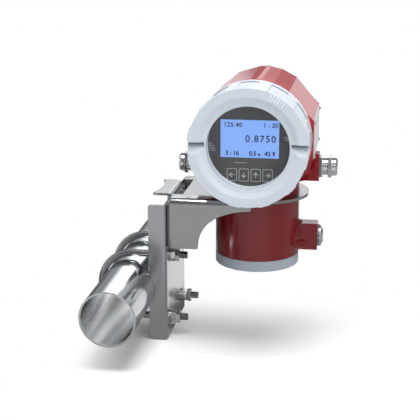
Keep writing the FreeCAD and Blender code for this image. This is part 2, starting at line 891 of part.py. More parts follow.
def box_terminal_block():
    # moulded strip hung on two posts under the terminal box's roof
    roof = BOX_TOP - dim.box_roof
    top = roof - dim.box_post_length
    bottom = top - dim.box_block_height
    half = dim.box_block_length / 2
    wide = dim.box_block_width / 2
    posts = keep(new_body("box_block_posts"))
    post = half - dim.box_post_inset
    slab(posts, "XY_Plane", top, roof, [Round(post, 0, dim.post_radius), Round(-post, 0, dim.post_radius)])
    place(posts, dim.meter_reach, 0, 0)
    block = keep(new_body("box_terminal_block"))
    slab(block, "XY_Plane", bottom, top, [rectangle(-half, -wide, half, wide)])
    count = 5
    first = -dim.terminal_pitch * (count - 1) / 2
    well = dim.terminal_screw_od / 2 + dim.thread_gap
    wells = [Round(first + dim.terminal_pitch * i, 0, well) for i in range(count)]
    well_top = bottom + dim.terminal_screw_sink + dim.terminal_screw_length
    slab(block, "XY_Plane", bottom - 1, well_top, wells, cut=True)
    place(block, dim.meter_reach, 0, 0)
    terminal_screw_row("box_terminal_screws", count, dim.terminal_pitch, dim.meter_reach, 0,
                       bottom + dim.terminal_screw_sink, FACE_DOWN)


def on_outline(angle, lift=0.0):
    # a point of the housing's outline, at an angle from the top
    reach = dim.housing_radius + lift
    return (reach * math.sin(math.radians(angle)), reach * math.cos(math.radians(angle)))


SPIGOT_BORE = dim.spigot_radius - dim.spigot_wall
COVER_CLEAR = SPIGOT_BORE - dim.cover_clear_step
DISPLAY_RADIUS = COVER_CLEAR - dim.display_gap


def housing_outline():
    # faceted barrel with a ridge on top and a flat pad on each side
    ridge_low, ridge_high = RIDGE_CREASES
    points = [on_outline(angle) for angle in LEFT_CREASES]
    points += [on_outline(ridge_low), on_outline(ridge_low + RIDGE_SLOPE, dim.ridge_height)]
    points += [on_outline(ridge_high - RIDGE_SLOPE, dim.ridge_height), on_outline(ridge_high)]
    points += [on_outline(angle) for angle in RIGHT_CREASES]
    points += [(dim.pad_reach, dim.pad_top), (dim.pad_reach, dim.pad_bottom)]
    points.append((dim.pad_foot_reach, dim.pad_foot))
    points.append(on_outline(BELLY_CREASE) + (dim.housing_radius, "right"))
    points.append((0, -dim.housing_radius, dim.housing_radius, "right"))
    points.append(on_outline(-BELLY_CREASE))
    points.append((-dim.pad_foot_reach, dim.pad_foot))
    points += [(-dim.left_pad_reach, dim.pad_bottom), (-dim.left_pad_reach, dim.left_pad_top)]
    return points


def head_housing():
    # cast head: a compartment in front and behind, a neck below and a hub each side
    body = keep(new_body("head_housing"))
    front = dim.housing_front
    back = -dim.housing_back
    neck_low = dim.bracket_top - dim.head_height
    slab(body, "XY_Plane", back, front, [housing_outline()])
    slab(body, "XY_Plane", front - 5, front + dim.spigot_length, [Round(0, 0, dim.spigot_radius)])
    belly = (dim.housing_radius * dim.housing_radius - dim.box_radius * dim.box_radius).root()
    slab(body, "XZ_Plane", neck_low, dim.neck_overlap - belly, [Round(0, 0, dim.box_radius)])
    drop = -dim.hub_drop
    slab(body, "YZ_Plane", -dim.hub_reach, dim.hub_reach, [hub_hexagon(drop, 0)])
    for side in (-1, 1):
        loft(body, "YZ_Plane", side * (dim.box_radius - 12), Round(drop, 0, dim.saddle_radius),
             side * (dim.box_radius + 6), Round(drop, 0, dim.saddle_tip_radius))
    cavity = dim.housing_cavity
    partition_back = dim.partition_front - dim.partition_thick
    spigot_bore = SPIGOT_BORE
    turn(body, [
        (0, dim.partition_front),
        (cavity, dim.partition_front),
        (cavity, front - 7),
        (spigot_bore, front - 2),
        (spigot_bore, front + dim.spigot_length + 1),
        (0, front + dim.spigot_length + 1),
    ], cut=True)
    thread_end = back + dim.back_thread_length
    turn(body, [
        (0, back - 1),
        (dim.back_bore, back - 1),
        (dim.back_bore, thread_end),
        (cavity, thread_end + 5),
        (cavity, partition_back),
        (0, partition_back),
    ], cut=True)
    for low, high in ((-dim.hub_reach - 1, -cavity / 2), (cavity / 2, dim.hub_reach + 1)):
        slab(body, "YZ_Plane", low, high, [Round(drop, 0, dim.hub_bore)], cut=True)
    slab(body, "XZ_Plane", neck_low - 1, -cavity / 2, [Round(0, 0, dim.wire_hole_radius)], cut=True)
    tapped = SCREW_RADIUS + dim.thread_gap
    deep = neck_low + dim.neck_screw_length - dim.sheet - dim.box_roof + 1
    screw_holes = [Round(x, y, tapped) for x, y in NECK_SCREW_PLACES]
    slab(body, "XZ_Plane", neck_low - 1, deep, screw_holes, cut=True)
    seat_head(body)


def seat_head(item):
    # pieces of the head are drawn about its axis, with Z towards the viewer
    place(item, dim.meter_reach, 0, dim.head_height, FACE_FRONT)


COVER_BACK = dim.housing_front + dim.cover_shoulder_gap
COVER_FACE = COVER_BACK + dim.cover_depth
LIP_BACK = COVER_FACE - dim.window_depth - dim.window_lip
COVER_THREAD = dim.spigot_radius + dim.thread_run_gap
SEAL_RECESS = COVER_THREAD + 2 * dim.cover_seal_radius + dim.seal_gap * 2


def swing(x, y):
    # a point of the cover's grips, turned with the cover
    along, across = math.cos(math.radians(GRIP_TURN)), math.sin(math.radians(GRIP_TURN))
    return (x * along - y * across, x * across + y * along)


def front_cover():
    # deep screw cover with twelve grip pockets and two scooped tool grooves
    body = keep(new_body("front_cover"))
    radius = dim.cover_radius
    glass_bore = dim.glass_radius + dim.glass_gap
    ring_back = LIP_BACK - dim.gasket_thick - dim.glass_thick - dim.ring_thick
    thread_end = COVER_BACK + dim.cover_thread_end
    turn(body, [
        (dim.window_radius, LIP_BACK),
        (dim.window_radius, COVER_FACE - dim.window_depth),
        (dim.cover_step_radius, COVER_FACE - dim.cover_step_depth),
        (dim.cover_face_inner, COVER_FACE),
        (radius - dim.cover_edge_bevel, COVER_FACE),
        (radius, COVER_FACE - dim.cover_edge_bevel),
        (radius, COVER_BACK),
        (SEAL_RECESS, COVER_BACK),
        (SEAL_RECESS, COVER_BACK + dim.cover_thread_start),
        (COVER_THREAD, COVER_BACK + dim.cover_thread_start),
        (COVER_THREAD, thread_end),
        (COVER_CLEAR, thread_end + 2),
        (COVER_CLEAR, ring_back),
        (glass_bore, ring_back),
        (glass_bore, LIP_BACK),
    ])
    floor = radius - dim.grip_depth
    half = dim.grip_half_width
    floor_edge = (floor * floor - half * half).root()
    grip = [
        swing(-half, floor_edge) + (floor, "right"),
        swing(half, floor_edge),
        swing(half, radius + 2),
        swing(-half, radius + 2),
    ]
    pocket = slab(body, "XY_Plane", COVER_FACE - dim.grip_length, COVER_FACE + 1, [grip], cut=True)
    repeat_round(body, pocket, dim.grip_count)
    scoop = [
        (dim.groove_upper, COVER_FACE + 1),
        (dim.groove_upper, COVER_FACE - dim.groove_depth),
        (dim.groove_lower, COVER_FACE),
        (dim.groove_lower, COVER_FACE + 1),
    ]
    slab(body, "YZ_Plane", dim.groove_inner, radius + 1, [scoop], cut=True)
    slab(body, "YZ_Plane", -radius - 1, -dim.groove_inner, [scoop], cut=True)
    seat_head(body)


def front_cover_seal():
    circle = dim.spigot_radius + dim.thread_run_gap + dim.seal_gap + dim.cover_seal_radius
    ring = seal_ring("front_cover_seal", circle, dim.cover_seal_radius)
    height = COVER_BACK + dim.cover_seal_radius
    place(ring, dim.meter_reach, -height, dim.head_height, FACE_FRONT)


def window_parts():
    # glass between a gasket behind the cover's lip and a threaded ring
    glass_front = LIP_BACK - dim.gasket_thick
    glass_back = glass_front - dim.glass_thick
    gasket = keep(new_body("glass_gasket"))
    slab(gasket, "XY_Plane", glass_front, LIP_BACK, [
        Round(0, 0, dim.glass_radius),
        Round(0, 0, dim.window_radius + 0.7),
    ])
    seat_head(gasket)
    glass = keep(new_body("window_glass"))
    slab(glass, "XY_Plane", glass_back, glass_front, [Round(0, 0, dim.glass_radius)])
    seat_head(glass)
    ring = keep(new_body("glass_retaining_ring"))
    slab(ring, "XY_Plane", glass_back - dim.ring_thick, glass_back, [
        Round(0, 0, dim.glass_radius + dim.glass_gap - dim.thread_gap),
        Round(0, 0, dim.window_radius + 0.7),
    ])
    seat_head(ring)


def display_stack():
    # from the partition forwards: posts, main board, posts, display board, module, frame, face
    face_back = dim.display_front - dim.overlay_thick
    frame_back = face_back - dim.frame_thick
    board_back = frame_back - dim.board_thick
    main_back = dim.partition_front + dim.main_board_height
    main_front = main_back + dim.board_thick
    posts = [Round(x, y, dim.post_radius) for x, y in POST_PLACES]
    for label, low, high in (
        ("main_board_posts", dim.partition_front, main_back),
        ("display_posts", main_front, board_back),
    ):
        body = keep(new_body(label))
        slab(body, "XY_Plane", low, high, posts)
        seat_head(body)
    for label, low in (("main_board", main_back), ("display_board", board_back)):
        body = keep(new_body(label))
        slab(body, "XY_Plane", low, low + dim.board_thick, [Round(0, 0, dim.board_radius)])
        seat_head(body)
    module = keep(new_body("power_module"))
    half = dim.module_length / 2
    wide = dim.module_width / 2
    block = rectangle(-half, -wide, half, wide)
    slab(module, "XY_Plane", main_front, main_front + dim.module_height, [block])
    seat_head(module)
    lcd_wide = dim.lcd_half_width + dim.lcd_rim
    lcd_tall = dim.lcd_half_height + dim.lcd_rim
    lift = dim.lcd_lift
    tall = dim.lcd_half_height
    opening = rectangle(-dim.lcd_half_width, lift - tall, dim.lcd_half_width, lift + tall)
    lcd = keep(new_body("lcd_module"))
    lcd_front = face_back - dim.lcd_front_gap
    slab(lcd, "XY_Plane", lcd_front - dim.lcd_thick, lcd_front, [
        rectangle(-lcd_wide, lift - lcd_tall, lcd_wide, lift + lcd_tall)])
    seat_head(lcd)
    frame = keep(new_body("display_frame"))
    slab(frame, "XY_Plane", frame_back, face_back, [Round(0, 0, DISPLAY_RADIUS)])
    pocket_wide = lcd_wide + dim.lcd_front_gap
    pocket_tall = lcd_tall + dim.lcd_front_gap
    slab(frame, "XY_Plane", lcd_front - dim.lcd_thick, face_back + 1, [
        rectangle(-pocket_wide, lift - pocket_tall, pocket_wide, lift + pocket_tall)], cut=True)
    seat_head(frame)
    overlay = keep(new_body("keypad_overlay"))
    slab(overlay, "XY_Plane", face_back, dim.display_front, [Round(0, 0, DISPLAY_RADIUS), opening])
    seat_head(overlay)


def rear_cover():
    # plain screw cover over the wiring compartment
    body = keep(new_body("rear_cover"))
    shoulder = -dim.housing_back - dim.cover_shoulder_gap
    outer = shoulder - dim.rear_thick
    thread = dim.back_bore - dim.thread_run_gap
    nose = shoulder + dim.rear_thread_length
    groove_in = dim.rear_seal_circle - dim.cap_seal_radius - dim.seal_gap
    groove_out = dim.rear_seal_circle + dim.cap_seal_radius + dim.seal_gap
    groove_low = -dim.housing_back - dim.cover_shoulder_gap - 2 * dim.cap_seal_radius - dim.seal_gap
    turn(body, [
        (0, outer),
        (dim.rear_radius - dim.rear_bevel, outer),
        (dim.rear_radius, outer + dim.rear_bevel),
        (dim.rear_radius, shoulder),
        (groove_out, shoulder),
        (groove_out, groove_low),
        (groove_in, groove_low),
        (groove_in, shoulder),
        (thread, shoulder),
        (thread, nose),
        (thread - dim.rear_wall, nose),
        (thread - dim.rear_wall, outer + dim.rear_wall),
        (0, outer + dim.rear_wall),
    ])
    grip = Round(0, dim.rear_radius + dim.rear_grip_radius - dim.rear_grip_depth, dim.rear_grip_radius)
    pocket = slab(body, "XY_Plane", outer - 1, shoulder - dim.rear_wall, [grip], cut=True)
    repeat_round(body, pocket, dim.rear_grip_count)
    seat_head(body)


def rear_cover_seal():
    ring = seal_ring("rear_cover_seal", dim.rear_seal_circle, dim.cap_seal_radius)
    back = dim.housing_back + dim.cover_shoulder_gap + dim.cap_seal_radius
    place(ring, dim.meter_reach, back, dim.head_height, FACE_FRONT)


def rear_terminal_block():
    # moulded strip on the back of the partition, screws facing the rear cover
    block = keep(new_body("rear_terminal_block"))
    front = dim.partition_front - dim.partition_thick
    back = front - dim.back_block_height
    half = dim.back_block_length / 2
    wide = dim.back_block_width / 2
    lift = dim.back_block_lift
    slab(block, "XY_Plane", back, front, [rectangle(-half, lift - wide, half, lift + wide)])
    count = 6
    first = -dim.terminal_pitch * (count - 1) / 2
    well = dim.terminal_screw_od / 2 + dim.thread_gap
    wells = [Round(first + dim.terminal_pitch * i, lift, well) for i in range(count)]
    sunk = back + dim.terminal_screw_sink
    slab(block, "XY_Plane", back - 1, sunk + dim.terminal_screw_length, wells, cut=True)
    seat_head(block)
    terminal_screw_row("rear_terminal_screws", count, dim.terminal_pitch, dim.meter_reach, -sunk,
                       dim.head_height + lift, Rotation(Vector(1, 0, 0), -90))


def nameplate():
    # blank plate on the right pad, held by four rivets
    plate = keep(new_body("nameplate"))
    low = dim.plate_offset - dim.plate_length / 2
    high = dim.plate_offset + dim.plate_length / 2
    tall = (dim.pad_top - dim.pad_bottom) / 2 - dim.plate_margin
    pad = dim.meter_reach + dim.pad_reach
    middle = dim.head_height + (dim.pad_top + dim.pad_bottom) / 2
    slab(plate, "YZ_Plane", 0, dim.plate_thick, [rectangle(low, -tall, high, tall)])
    place(plate, pad, 0, middle)
    rivet = new_body("rivet_shape")
    section = [
        (0, 0),
        (dim.rivet_radius, 0),
        (dim.rivet_radius / 2, dim.rivet_head),
        (0, dim.rivet_head),
    ]
    turn(rivet, section)
    inset = dim.rivet_inset
    corners = [(y, z) for y in (low + inset, high - inset) for z in (inset - tall, tall - inset)]
    face = pad + dim.plate_thick
    group("nameplate_rivets", rivet, [spot(face, y, middle + z, FACE_RIGHT) for y, z in corners])


def gland(side, x, rotation):
    # cable gland: screwed body, rubber insert and domed clamping nut
    height = dim.head_height - dim.hub_drop
    body = keep(new_body("gland_body_" + side))
    barrel = dim.gland_barrel_radius
    nose = dim.gland_nose_radius
    thread = dim.hub_bore - dim.thread_gap
    turn(body, [
        (dim.gland_bore, -dim.gland_thread_length),
        (thread, -dim.gland_thread_length),
        (thread, 0),
        (barrel, 0),
        (barrel, dim.gland_barrel_end),
        (nose, dim.gland_barrel_end),
        (nose, dim.gland_nose_end),
        (dim.gland_seat_radius, dim.gland_nose_end),
        (dim.gland_seat_radius, dim.gland_seat_start),
        (dim.gland_bore, dim.gland_seat_start),
    ])
    flange = [hexagon(0, 0, dim.gland_flats), Round(0, 0, dim.gland_bore + 1)]
    slab(body, "XY_Plane", 0, dim.gland_flange, flange)
    place(body, x, 0, height, rotation)
    insert = keep(new_body("gland_insert_" + side))
    low = dim.gland_seat_start + dim.seal_gap
    taper = dim.insert_end - 1.6
    turn(insert, [
        (dim.insert_bore, low),
        (dim.insert_radius, low),
        (dim.insert_radius, taper),
        (dim.insert_radius - 0.8, dim.insert_end),
        (dim.insert_bore, dim.insert_end),
    ])
    place(insert, x, 0, height, rotation)
    nut = keep(new_body("gland_nut_" + side))
    start = dim.gland_barrel_end + dim.dome_start_gap
    bore = nose + dim.thread_run_gap
    turn(nut, [
        (bore, start),
        (dim.dome_radius, start),
        (dim.dome_radius, dim.dome_shoulder),
        (dim.dome_mouth, dim.dome_end),
        (dim.gland_bore, dim.dome_end),
        (dim.gland_bore, dim.insert_end + dim.dome_start_gap),
        (dim.insert_radius + dim.dome_start_gap, dim.insert_end + dim.dome_start_gap),
        (bore, dim.gland_nose_end + dim.dome_start_gap),
    ])
    collar = [hexagon(0, 0, dim.gland_flats), Round(0, 0, bore)]
    slab(nut, "XY_Plane", start, start + dim.dome_collar, collar)
    place(nut, x, 0, height, rotation)


def blind_plug():
    # slotted stopping plug and its washer in the terminal box's hub
    x = dim.meter_reach + dim.hub_reach
    washer = keep(new_body("plug_washer"))
    thread = dim.hub_bore - dim.thread_gap
    rings = [Round(0, 0, dim.plug_radius), Round(0, 0, dim.hub_bore)]
    slab(washer, "XY_Plane", 0, dim.plug_washer, rings)
    place(washer, x, 0, dim.box_hub_height, FACE_RIGHT)
    plug = keep(new_body("blind_plug"))
    rim = dim.plug_washer + dim.plug_flange
    crown = rim + dim.plug_dome
    turn(plug, [
        (0, -dim.plug_thread_length),
        (thread, -dim.plug_thread_length),
        (thread, dim.plug_washer),
        (dim.plug_radius, dim.plug_washer),
        (dim.plug_radius, rim),
        (dim.plug_tip_radius, crown),
        (0, crown),
    ])
    slot = rectangle(-dim.plug_slot_width / 2, -dim.plug_radius, dim.plug_slot_width / 2, dim.plug_radius)
    slab(plug, "XY_Plane", crown - dim.plug_slot_depth, crown + 1, [slot], cut=True)
    place(plug, x, 0, dim.box_hub_height, FACE_RIGHT)


def build():
    mounting_pipe()
    saddle_channel()
    u_bolt("u_bolt_front", -BOLT_HALF_SPACING)
    u_bolt("u_bolt_rear", BOLT_HALF_SPACING)
    clamp_fasteners()
    transmitter_bracket()
    plate_screws()
    neck_screws()
    terminal_box()
    terminal_box_cap()
    terminal_cap_seal()
    box_terminal_block()
    blind_plug()
    head_housing()
    front_cover()
    front_cover_seal()
    window_parts()
    display_stack()
    rear_cover()
    rear_cover_seal()
    rear_terminal_block()
    nameplate()
    gland("right", dim.meter_reach + dim.hub_reach, FACE_RIGHT)
    gland("left", dim.meter_reach - dim.hub_reach, FACE_LEFT)
    doc.recompute()


def check():
    # every feature is sound, and every pocket and groove took something away
    for item in doc.Objects:
        if "Invalid" in item.State or "Error" in item.State:
            raise RuntimeError("failed feature: " + item.Label)
        if item.TypeId in ("PartDesign::Pocket", "PartDesign::Groove"):
            if item.Shape.Volume >= item.BaseFeature.Shape.Volume - 1e-6:
                raise RuntimeError("cuts nothing: " + item.Label)
    for label, item in nodes.items():
        if item.Shape.isNull() or not item.Shape.isValid():
            raise RuntimeError("bad shape: " + label)


def write():
    os.makedirs("parts", exist_ok=True)
    for label, item in nodes.items():
        item.Shape.exportStep("parts/%s.step" % label)
        print("%-24s solids %d  volume %.0f" % (label, len(item.Shape.Solids), item.Shape.Volume))


build()
check()
write()
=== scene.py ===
import math

import bmesh
import bpy
import numpy as np
from mathutils import Matrix, Vector


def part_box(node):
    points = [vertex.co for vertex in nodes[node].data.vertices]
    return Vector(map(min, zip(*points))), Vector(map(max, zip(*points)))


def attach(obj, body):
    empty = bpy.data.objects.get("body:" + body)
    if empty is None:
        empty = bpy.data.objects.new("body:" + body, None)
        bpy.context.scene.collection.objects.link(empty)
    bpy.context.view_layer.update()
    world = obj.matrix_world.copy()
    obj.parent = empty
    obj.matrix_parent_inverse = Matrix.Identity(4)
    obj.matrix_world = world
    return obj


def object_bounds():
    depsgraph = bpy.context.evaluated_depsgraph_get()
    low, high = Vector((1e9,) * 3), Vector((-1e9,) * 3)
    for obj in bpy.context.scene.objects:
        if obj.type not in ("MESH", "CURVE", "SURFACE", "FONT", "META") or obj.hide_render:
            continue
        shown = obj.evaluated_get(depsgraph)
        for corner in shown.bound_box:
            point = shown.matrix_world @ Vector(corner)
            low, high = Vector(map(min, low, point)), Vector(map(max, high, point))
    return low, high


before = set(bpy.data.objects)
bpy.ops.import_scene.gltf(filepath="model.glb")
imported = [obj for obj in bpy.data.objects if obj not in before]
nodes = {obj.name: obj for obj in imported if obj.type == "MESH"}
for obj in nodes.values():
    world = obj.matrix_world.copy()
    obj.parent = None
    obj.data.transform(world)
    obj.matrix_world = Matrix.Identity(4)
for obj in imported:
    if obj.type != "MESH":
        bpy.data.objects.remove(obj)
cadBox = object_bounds()
print("stage: frame loaded,", len(nodes), "nodes")


def boxMiddle(name):
    # centre of a CAD node's box
    low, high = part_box(name)
    return (low + high) / 2


# lengths are metres, and places come from the frame; the head's axis runs along Y, its face looks towards -Y
headMiddle = boxMiddle("display_frame")
lcdMiddle = boxMiddle("lcd_module")
head = {
    "x": headMiddle.x,
    "z": headMiddle.z,
    "face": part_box("front_cover")[0].y,
    "display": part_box("keypad_overlay")[0].y,
    "lcd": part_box("lcd_module")[0].y,
}
headAxis = (head["x"], head["z"])
boxAxis = (head["x"], 0.0)
pipeAxis = (0.0, 0.0)


def srgb(red, green, blue):
    # 0-255 screen values to the linear colour that a shader wants
    parts = [value / 255 for value in (red, green, blue)]
    return tuple(p / 12.92 if p <= 0.04045 else ((p + 0.055) / 1.055) ** 2.4 for p in parts) + (1.0,)


class Wire:
    # a node's output socket that can stand in a Python sum
    def __init__(self, wiring, socket):
        self.wiring = wiring
        self.socket = socket

    def maths(self, operation, *values):
        return self.wiring.add("Math", {"operation": operation}, dict(enumerate(values)))

    def __add__(self, other):
        return self.maths("ADD", self, other)

    def __radd__(self, other):
        return self.maths("ADD", other, self)

    def __sub__(self, other):
        return self.maths("SUBTRACT", self, other)

    def __rsub__(self, other):
        return self.maths("SUBTRACT", other, self)

    def __mul__(self, other):
        return self.maths("MULTIPLY", self, other)

    def __rmul__(self, other):
        return self.maths("MULTIPLY", other, self)

    def largest(self, other):
        return self.maths("MAXIMUM", self, other)

    def size(self):
        return self.maths("ABSOLUTE", self)

    def sine(self):
        return self.maths("SINE", self)

    def root(self):
        return self.maths("SQRT", self)


fineEdge = 0.0001  # half the width of a mask's edge where two finishes meet, metres
cornerRound = 0.0003  # how far light rounds a hard corner, metres


class Wiring:
    # adds nodes to a material or a world and hands back their outputs as wires
    def __init__(self, owner):
        owner.use_nodes = True
        self.nodes = owner.node_tree.nodes
        self.links = owner.node_tree.links
        self.nodes.clear()

    def plug(self, socket, value):
        if isinstance(value, Wire):
            self.links.new(value.socket, socket)
        else:
            socket.default_value = value

    def add(self, kind, settings=None, inputs=None, output=0):
        # any node: its settings first, then the values or wires of its sockets
        node = self.nodes.new("ShaderNode" + kind)
        for name, value in (settings or {}).items():
            setattr(node, name, value)
        for name, value in (inputs or {}).items():
            self.plug(node.inputs[name], value)
        if not node.outputs:
            return node
        return Wire(self, node.outputs[output])

    def bearing(self, x, y):
        # degrees from +Y towards +X
        return self.add("Math", {"operation": "ARCTAN2"}, {0: x, 1: y}) * math.degrees(1)

    def split(self, vector):
        outputs = self.add("SeparateXYZ", {}, {0: vector}).socket.node.outputs
        return [Wire(self, socket) for socket in outputs]

    def place(self):
        return self.add("TexCoord", output="Object")

    def axes(self):
        return self.split(self.place())

    def noise(self, scale, detail=2.0, roughness=0.5, stretch=(1, 1, 1)):
        mapped = self.add("Mapping", {}, {"Vector": self.place(), "Scale": stretch})
        sockets = {"Vector": mapped, "Scale": scale, "Detail": detail, "Roughness": roughness}
        return self.add("TexNoise", {}, sockets)

    def step(self, value, low, high):
        # smooth 0 to 1 while value goes from low to high
        sockets = {"Value": value, "From Min": low, "From Max": high, "To Min": 0.0, "To Max": 1.0}
        return self.add("MapRange", {"interpolation_type": "SMOOTHSTEP"}, sockets)

    def beyond(self, value, limit, edge=fineEdge):
        return self.step(value, limit - edge, limit + edge)

    def below(self, value, limit, edge=fineEdge):
        return 1 - self.beyond(value, limit, edge)

    def between(self, value, low, high, edge=fineEdge):
        return self.beyond(value, low, edge) * self.below(value, high, edge)

    def blend(self, mask, first, second):
        return self.add("Mix", {"data_type": "RGBA"}, {0: mask, 6: first, 7: second}, output=2)

    def shade(self, colour, low, high, mask):
        # the colour times low where the mask is 0 and times high where it is 1
        dark = tuple(c * low for c in colour[:3]) + (1.0,)
        light = tuple(min(c * high, 1.0) for c in colour[:3]) + (1.0,)
        return self.blend(mask, dark, light)


class Finish(Wiring):
    # one material: a Principled shader with constants on its sockets and wires where it varies
    spelling = {
        "baseColour": "Base Color",
        "emissionColour": "Emission Color",
        "ior": "IOR",
        "specularIorLevel": "Specular IOR Level",
    }

    def __init__(self, name, **constants):
        self.material = bpy.data.materials.new(name)
        super().__init__(self.material)
        self.shader = self.add("BsdfPrincipled")
        self.output = self.add("OutputMaterial", {}, {"Surface": self.shader})
        self.feed(**constants)

    def feed(self, **sockets):
        # coatWeight=... means the socket "Coat Weight": words split at capitals
        for key, value in sockets.items():
            words = "".join(" " + c if c.isupper() else c for c in key).title()
            self.plug(self.shader.socket.node.inputs[self.spelling.get(key, words)], value)

    def glow(self, strength):
        return self.add("Emission", {}, {"Strength": strength})

    def both(self, first, second):
        return self.add("AddShader", {}, {0: first, 1: second})

    def mixed(self, share, first, second):
        return self.add("MixShader", {}, {0: share, 1: first, 2: second})

    def relief(self, *layers, edge=cornerRound):
        # layers of (height wire, depth in metres), one bump over the other; edge rounds hard corners
        normal = self.add("Bevel", {"samples": 4}, {"Radius": edge})
        for height, depth in layers:
            sockets = {"Height": height, "Distance": depth, "Strength": 1.0, "Normal": normal}
            normal = self.add("Bump", {}, sockets)
        self.feed(normal=normal)


def radiusRound(axis, first, second):
    # distance from an axis, from two coordinates
    a = first - axis[0]
    b = second - axis[1]
    return (a * a + b * b).root()


def swing(noise, width):
    # a noise of 0 to 1 as plus or minus half the width
    return (noise - 0.5) * width


def thread(along, pitch):
    # height of a plain screw thread, 0 to 1: half of one plus a sine along the axis
    return (along * (2 * math.pi / pitch)).sine() * 0.5 + 0.5


paintSettings = {
    "red": srgb(170, 12, 26),
    # painted shade: a darker copy of the red, laid on the housing low down, below the height and blend that
    # follow
    "shadedLowRed": srgb(128, 16, 24),
    "shadeHeight": 0.150,
    "shadeBlend": 0.012,
    # painted shade: the box's red is a darker copy of the head's red
    "shadedBoxRed": srgb(112, 22, 27),
    "white": srgb(203, 210, 220),
    # painted highlight: a lighter copy of the cover's white, for the ribs
    "ribHighlightWhite": srgb(226, 233, 244),
    "ringWhite": srgb(232, 236, 242),
    # painted light: how strongly the retaining ring glows, as if the display lit it
    "ringPaintedGlow": 0.35,
    "grey": srgb(160, 167, 176),
    # painted shade: its colour and how much of it is laid on
    "soot": srgb(78, 82, 88),
    "paintedShadeShare": 0.85,
    "cloud": {"scale": 28.0, "detail": 3.0},
    "cloudShade": (0.94, 1.05),
    "cloudRough": 0.06,
    "peel": {"scale": 1100.0, "roughness": 0.4},
    "peelDepth": 0.00002,
    "cast": {"scale": 190.0, "detail": 3.0, "roughness": 0.55},
    "castDepth": 0.00004,
    "gloss": 0.15,
    "glossRough": 0.07,
    "edge": 0.0005,
}

turnedMetal = {
    "colour": srgb(176, 178, 180),
    "shade": (0.85, 1.08),
    "rough": 0.36,
    "rings": {"scale": 60.0, "stretch": (1, 30, 1)},
    "threadDepth": 0.0005,
}


def paintedCasting(name, colour, rough, bare=None, low=None, soot=None, glow=0.0):
    # powder coat over cast metal: orange peel, slow cloudiness, bare turned metal where bare() says,
    # painted shade as the darker colour named low under the set height, more painted shade where the
    # shade mask says, and a faint painted glow in the paint's own colour, as if the display lit it
    finish = Finish(name, coatRoughness=paintSettings["glossRough"])
    # painted light: a glow in the paint's own colour, which only the retaining ring has
    finish.feed(emissionColour=colour, emissionStrength=glow)
    cloud = finish.noise(**paintSettings["cloud"])
    peel = finish.noise(**paintSettings["peel"])
    cast = finish.noise(**paintSettings["cast"])
    tone = finish.shade(colour, *paintSettings["cloudShade"], cloud)
    gloss = paintSettings["gloss"]
    rough = rough + swing(cloud, paintSettings["cloudRough"])
    # painted shade: the red turns to its darker copy low on the housing
    if low is not None:
        height = paintSettings["shadeHeight"]
        upper = finish.step(finish.axes()[2], height, height + paintSettings["shadeBlend"])
        tone = finish.blend(upper, finish.shade(low, *paintSettings["cloudShade"], cloud), tone)
    # painted shade, laid on in its own colour where the mask says
    if soot is not None:
        tone = finish.blend(soot(finish) * paintSettings["paintedShadeShare"], tone, paintSettings["soot"])
    layers = [(cast, paintSettings["castDepth"]), (peel, paintSettings["peelDepth"])]
    if bare is None:
        finish.feed(baseColour=tone, roughness=rough, coatWeight=gloss)
    else:
        mask, ridges = bare(finish)
        rings = finish.noise(**turnedMetal["rings"])
        metal = finish.shade(turnedMetal["colour"], *turnedMetal["shade"], rings)
        finish.feed(baseColour=finish.blend(mask, tone, metal), metallic=mask, coatWeight=gloss * (1 - mask),
                    roughness=rough * (1 - mask) + mask * turnedMetal["rough"])
        layers.append((ridges * mask, turnedMetal["threadDepth"]))
    finish.relief(*layers, edge=paintSettings["edge"])
    return finish.material


# places of the turned metal in each casting are metres: radii from the axis, ends along it, the pitch of
# the thread there, and half the width of an edge that isn't fine
headTurned = {"spigotEnd": -0.0507, "spigotRadius": 0.0557, "roomRadius": 0.0556, "neckTop": 0.117,
              "threadFrom": 0.051, "pitch": 0.002, "edge": 0.0005}


def headBare(finish):
    # machined: the front spigot and its thread, the rear thread and both inner rooms
    x, y, z = finish.axes()
    radius = radiusRound(headAxis, x, z)
    spigot = finish.below(y, headTurned["spigotEnd"]) * finish.below(radius, headTurned["spigotRadius"])
    rooms = finish.below(radius, headTurned["roomRadius"])
    rooms = rooms * finish.beyond(z, headTurned["neckTop"], headTurned["edge"])
    threaded = finish.beyond(y.size(), headTurned["threadFrom"], headTurned["edge"])
    return spigot.largest(rooms), thread(y, headTurned["pitch"]) * threaded


boxTurned = {"seam": 0.03565, "roomRadius": 0.0418, "roomTop": 0.1021, "topEdge": 0.0003, "pitch": 0.0015}


def boxBare(finish):
    # machined: the male thread under the terminal box and its inside
    x, y, z = finish.axes()
    low = finish.below(z, boxTurned["seam"])
    inside = finish.below(radiusRound(boxAxis, x, y), boxTurned["roomRadius"])
    inside = inside * finish.below(z, boxTurned["roomTop"], boxTurned["topEdge"])
    return low.largest(inside), thread(z, boxTurned["pitch"]) * low


coverTurned = {"radius": 0.0559, "from": -0.097, "pitch": 0.002}


def coverBare(finish):
    # bare thread inside the front cover
    x, y, z = finish.axes()
    inside = finish.below(radiusRound(headAxis, x, z), coverTurned["radius"])
    return inside * finish.beyond(y, coverTurned["from"]), thread(y, coverTurned["pitch"])


# places of the painted shade: x, z and radii from the head's axis, and y
groovePaintedShade = {"inner": 0.0438, "innerEdge": 0.0003, "lower": -0.0072, "upper": 0.0052,
              "from": -0.1046, "full": -0.1018, "to": -0.1010, "toEdge": 0.0002}
pocketPaintedShade = {"from": -0.0630, "to": -0.0619, "inner": 0.0585, "outer": 0.0613}


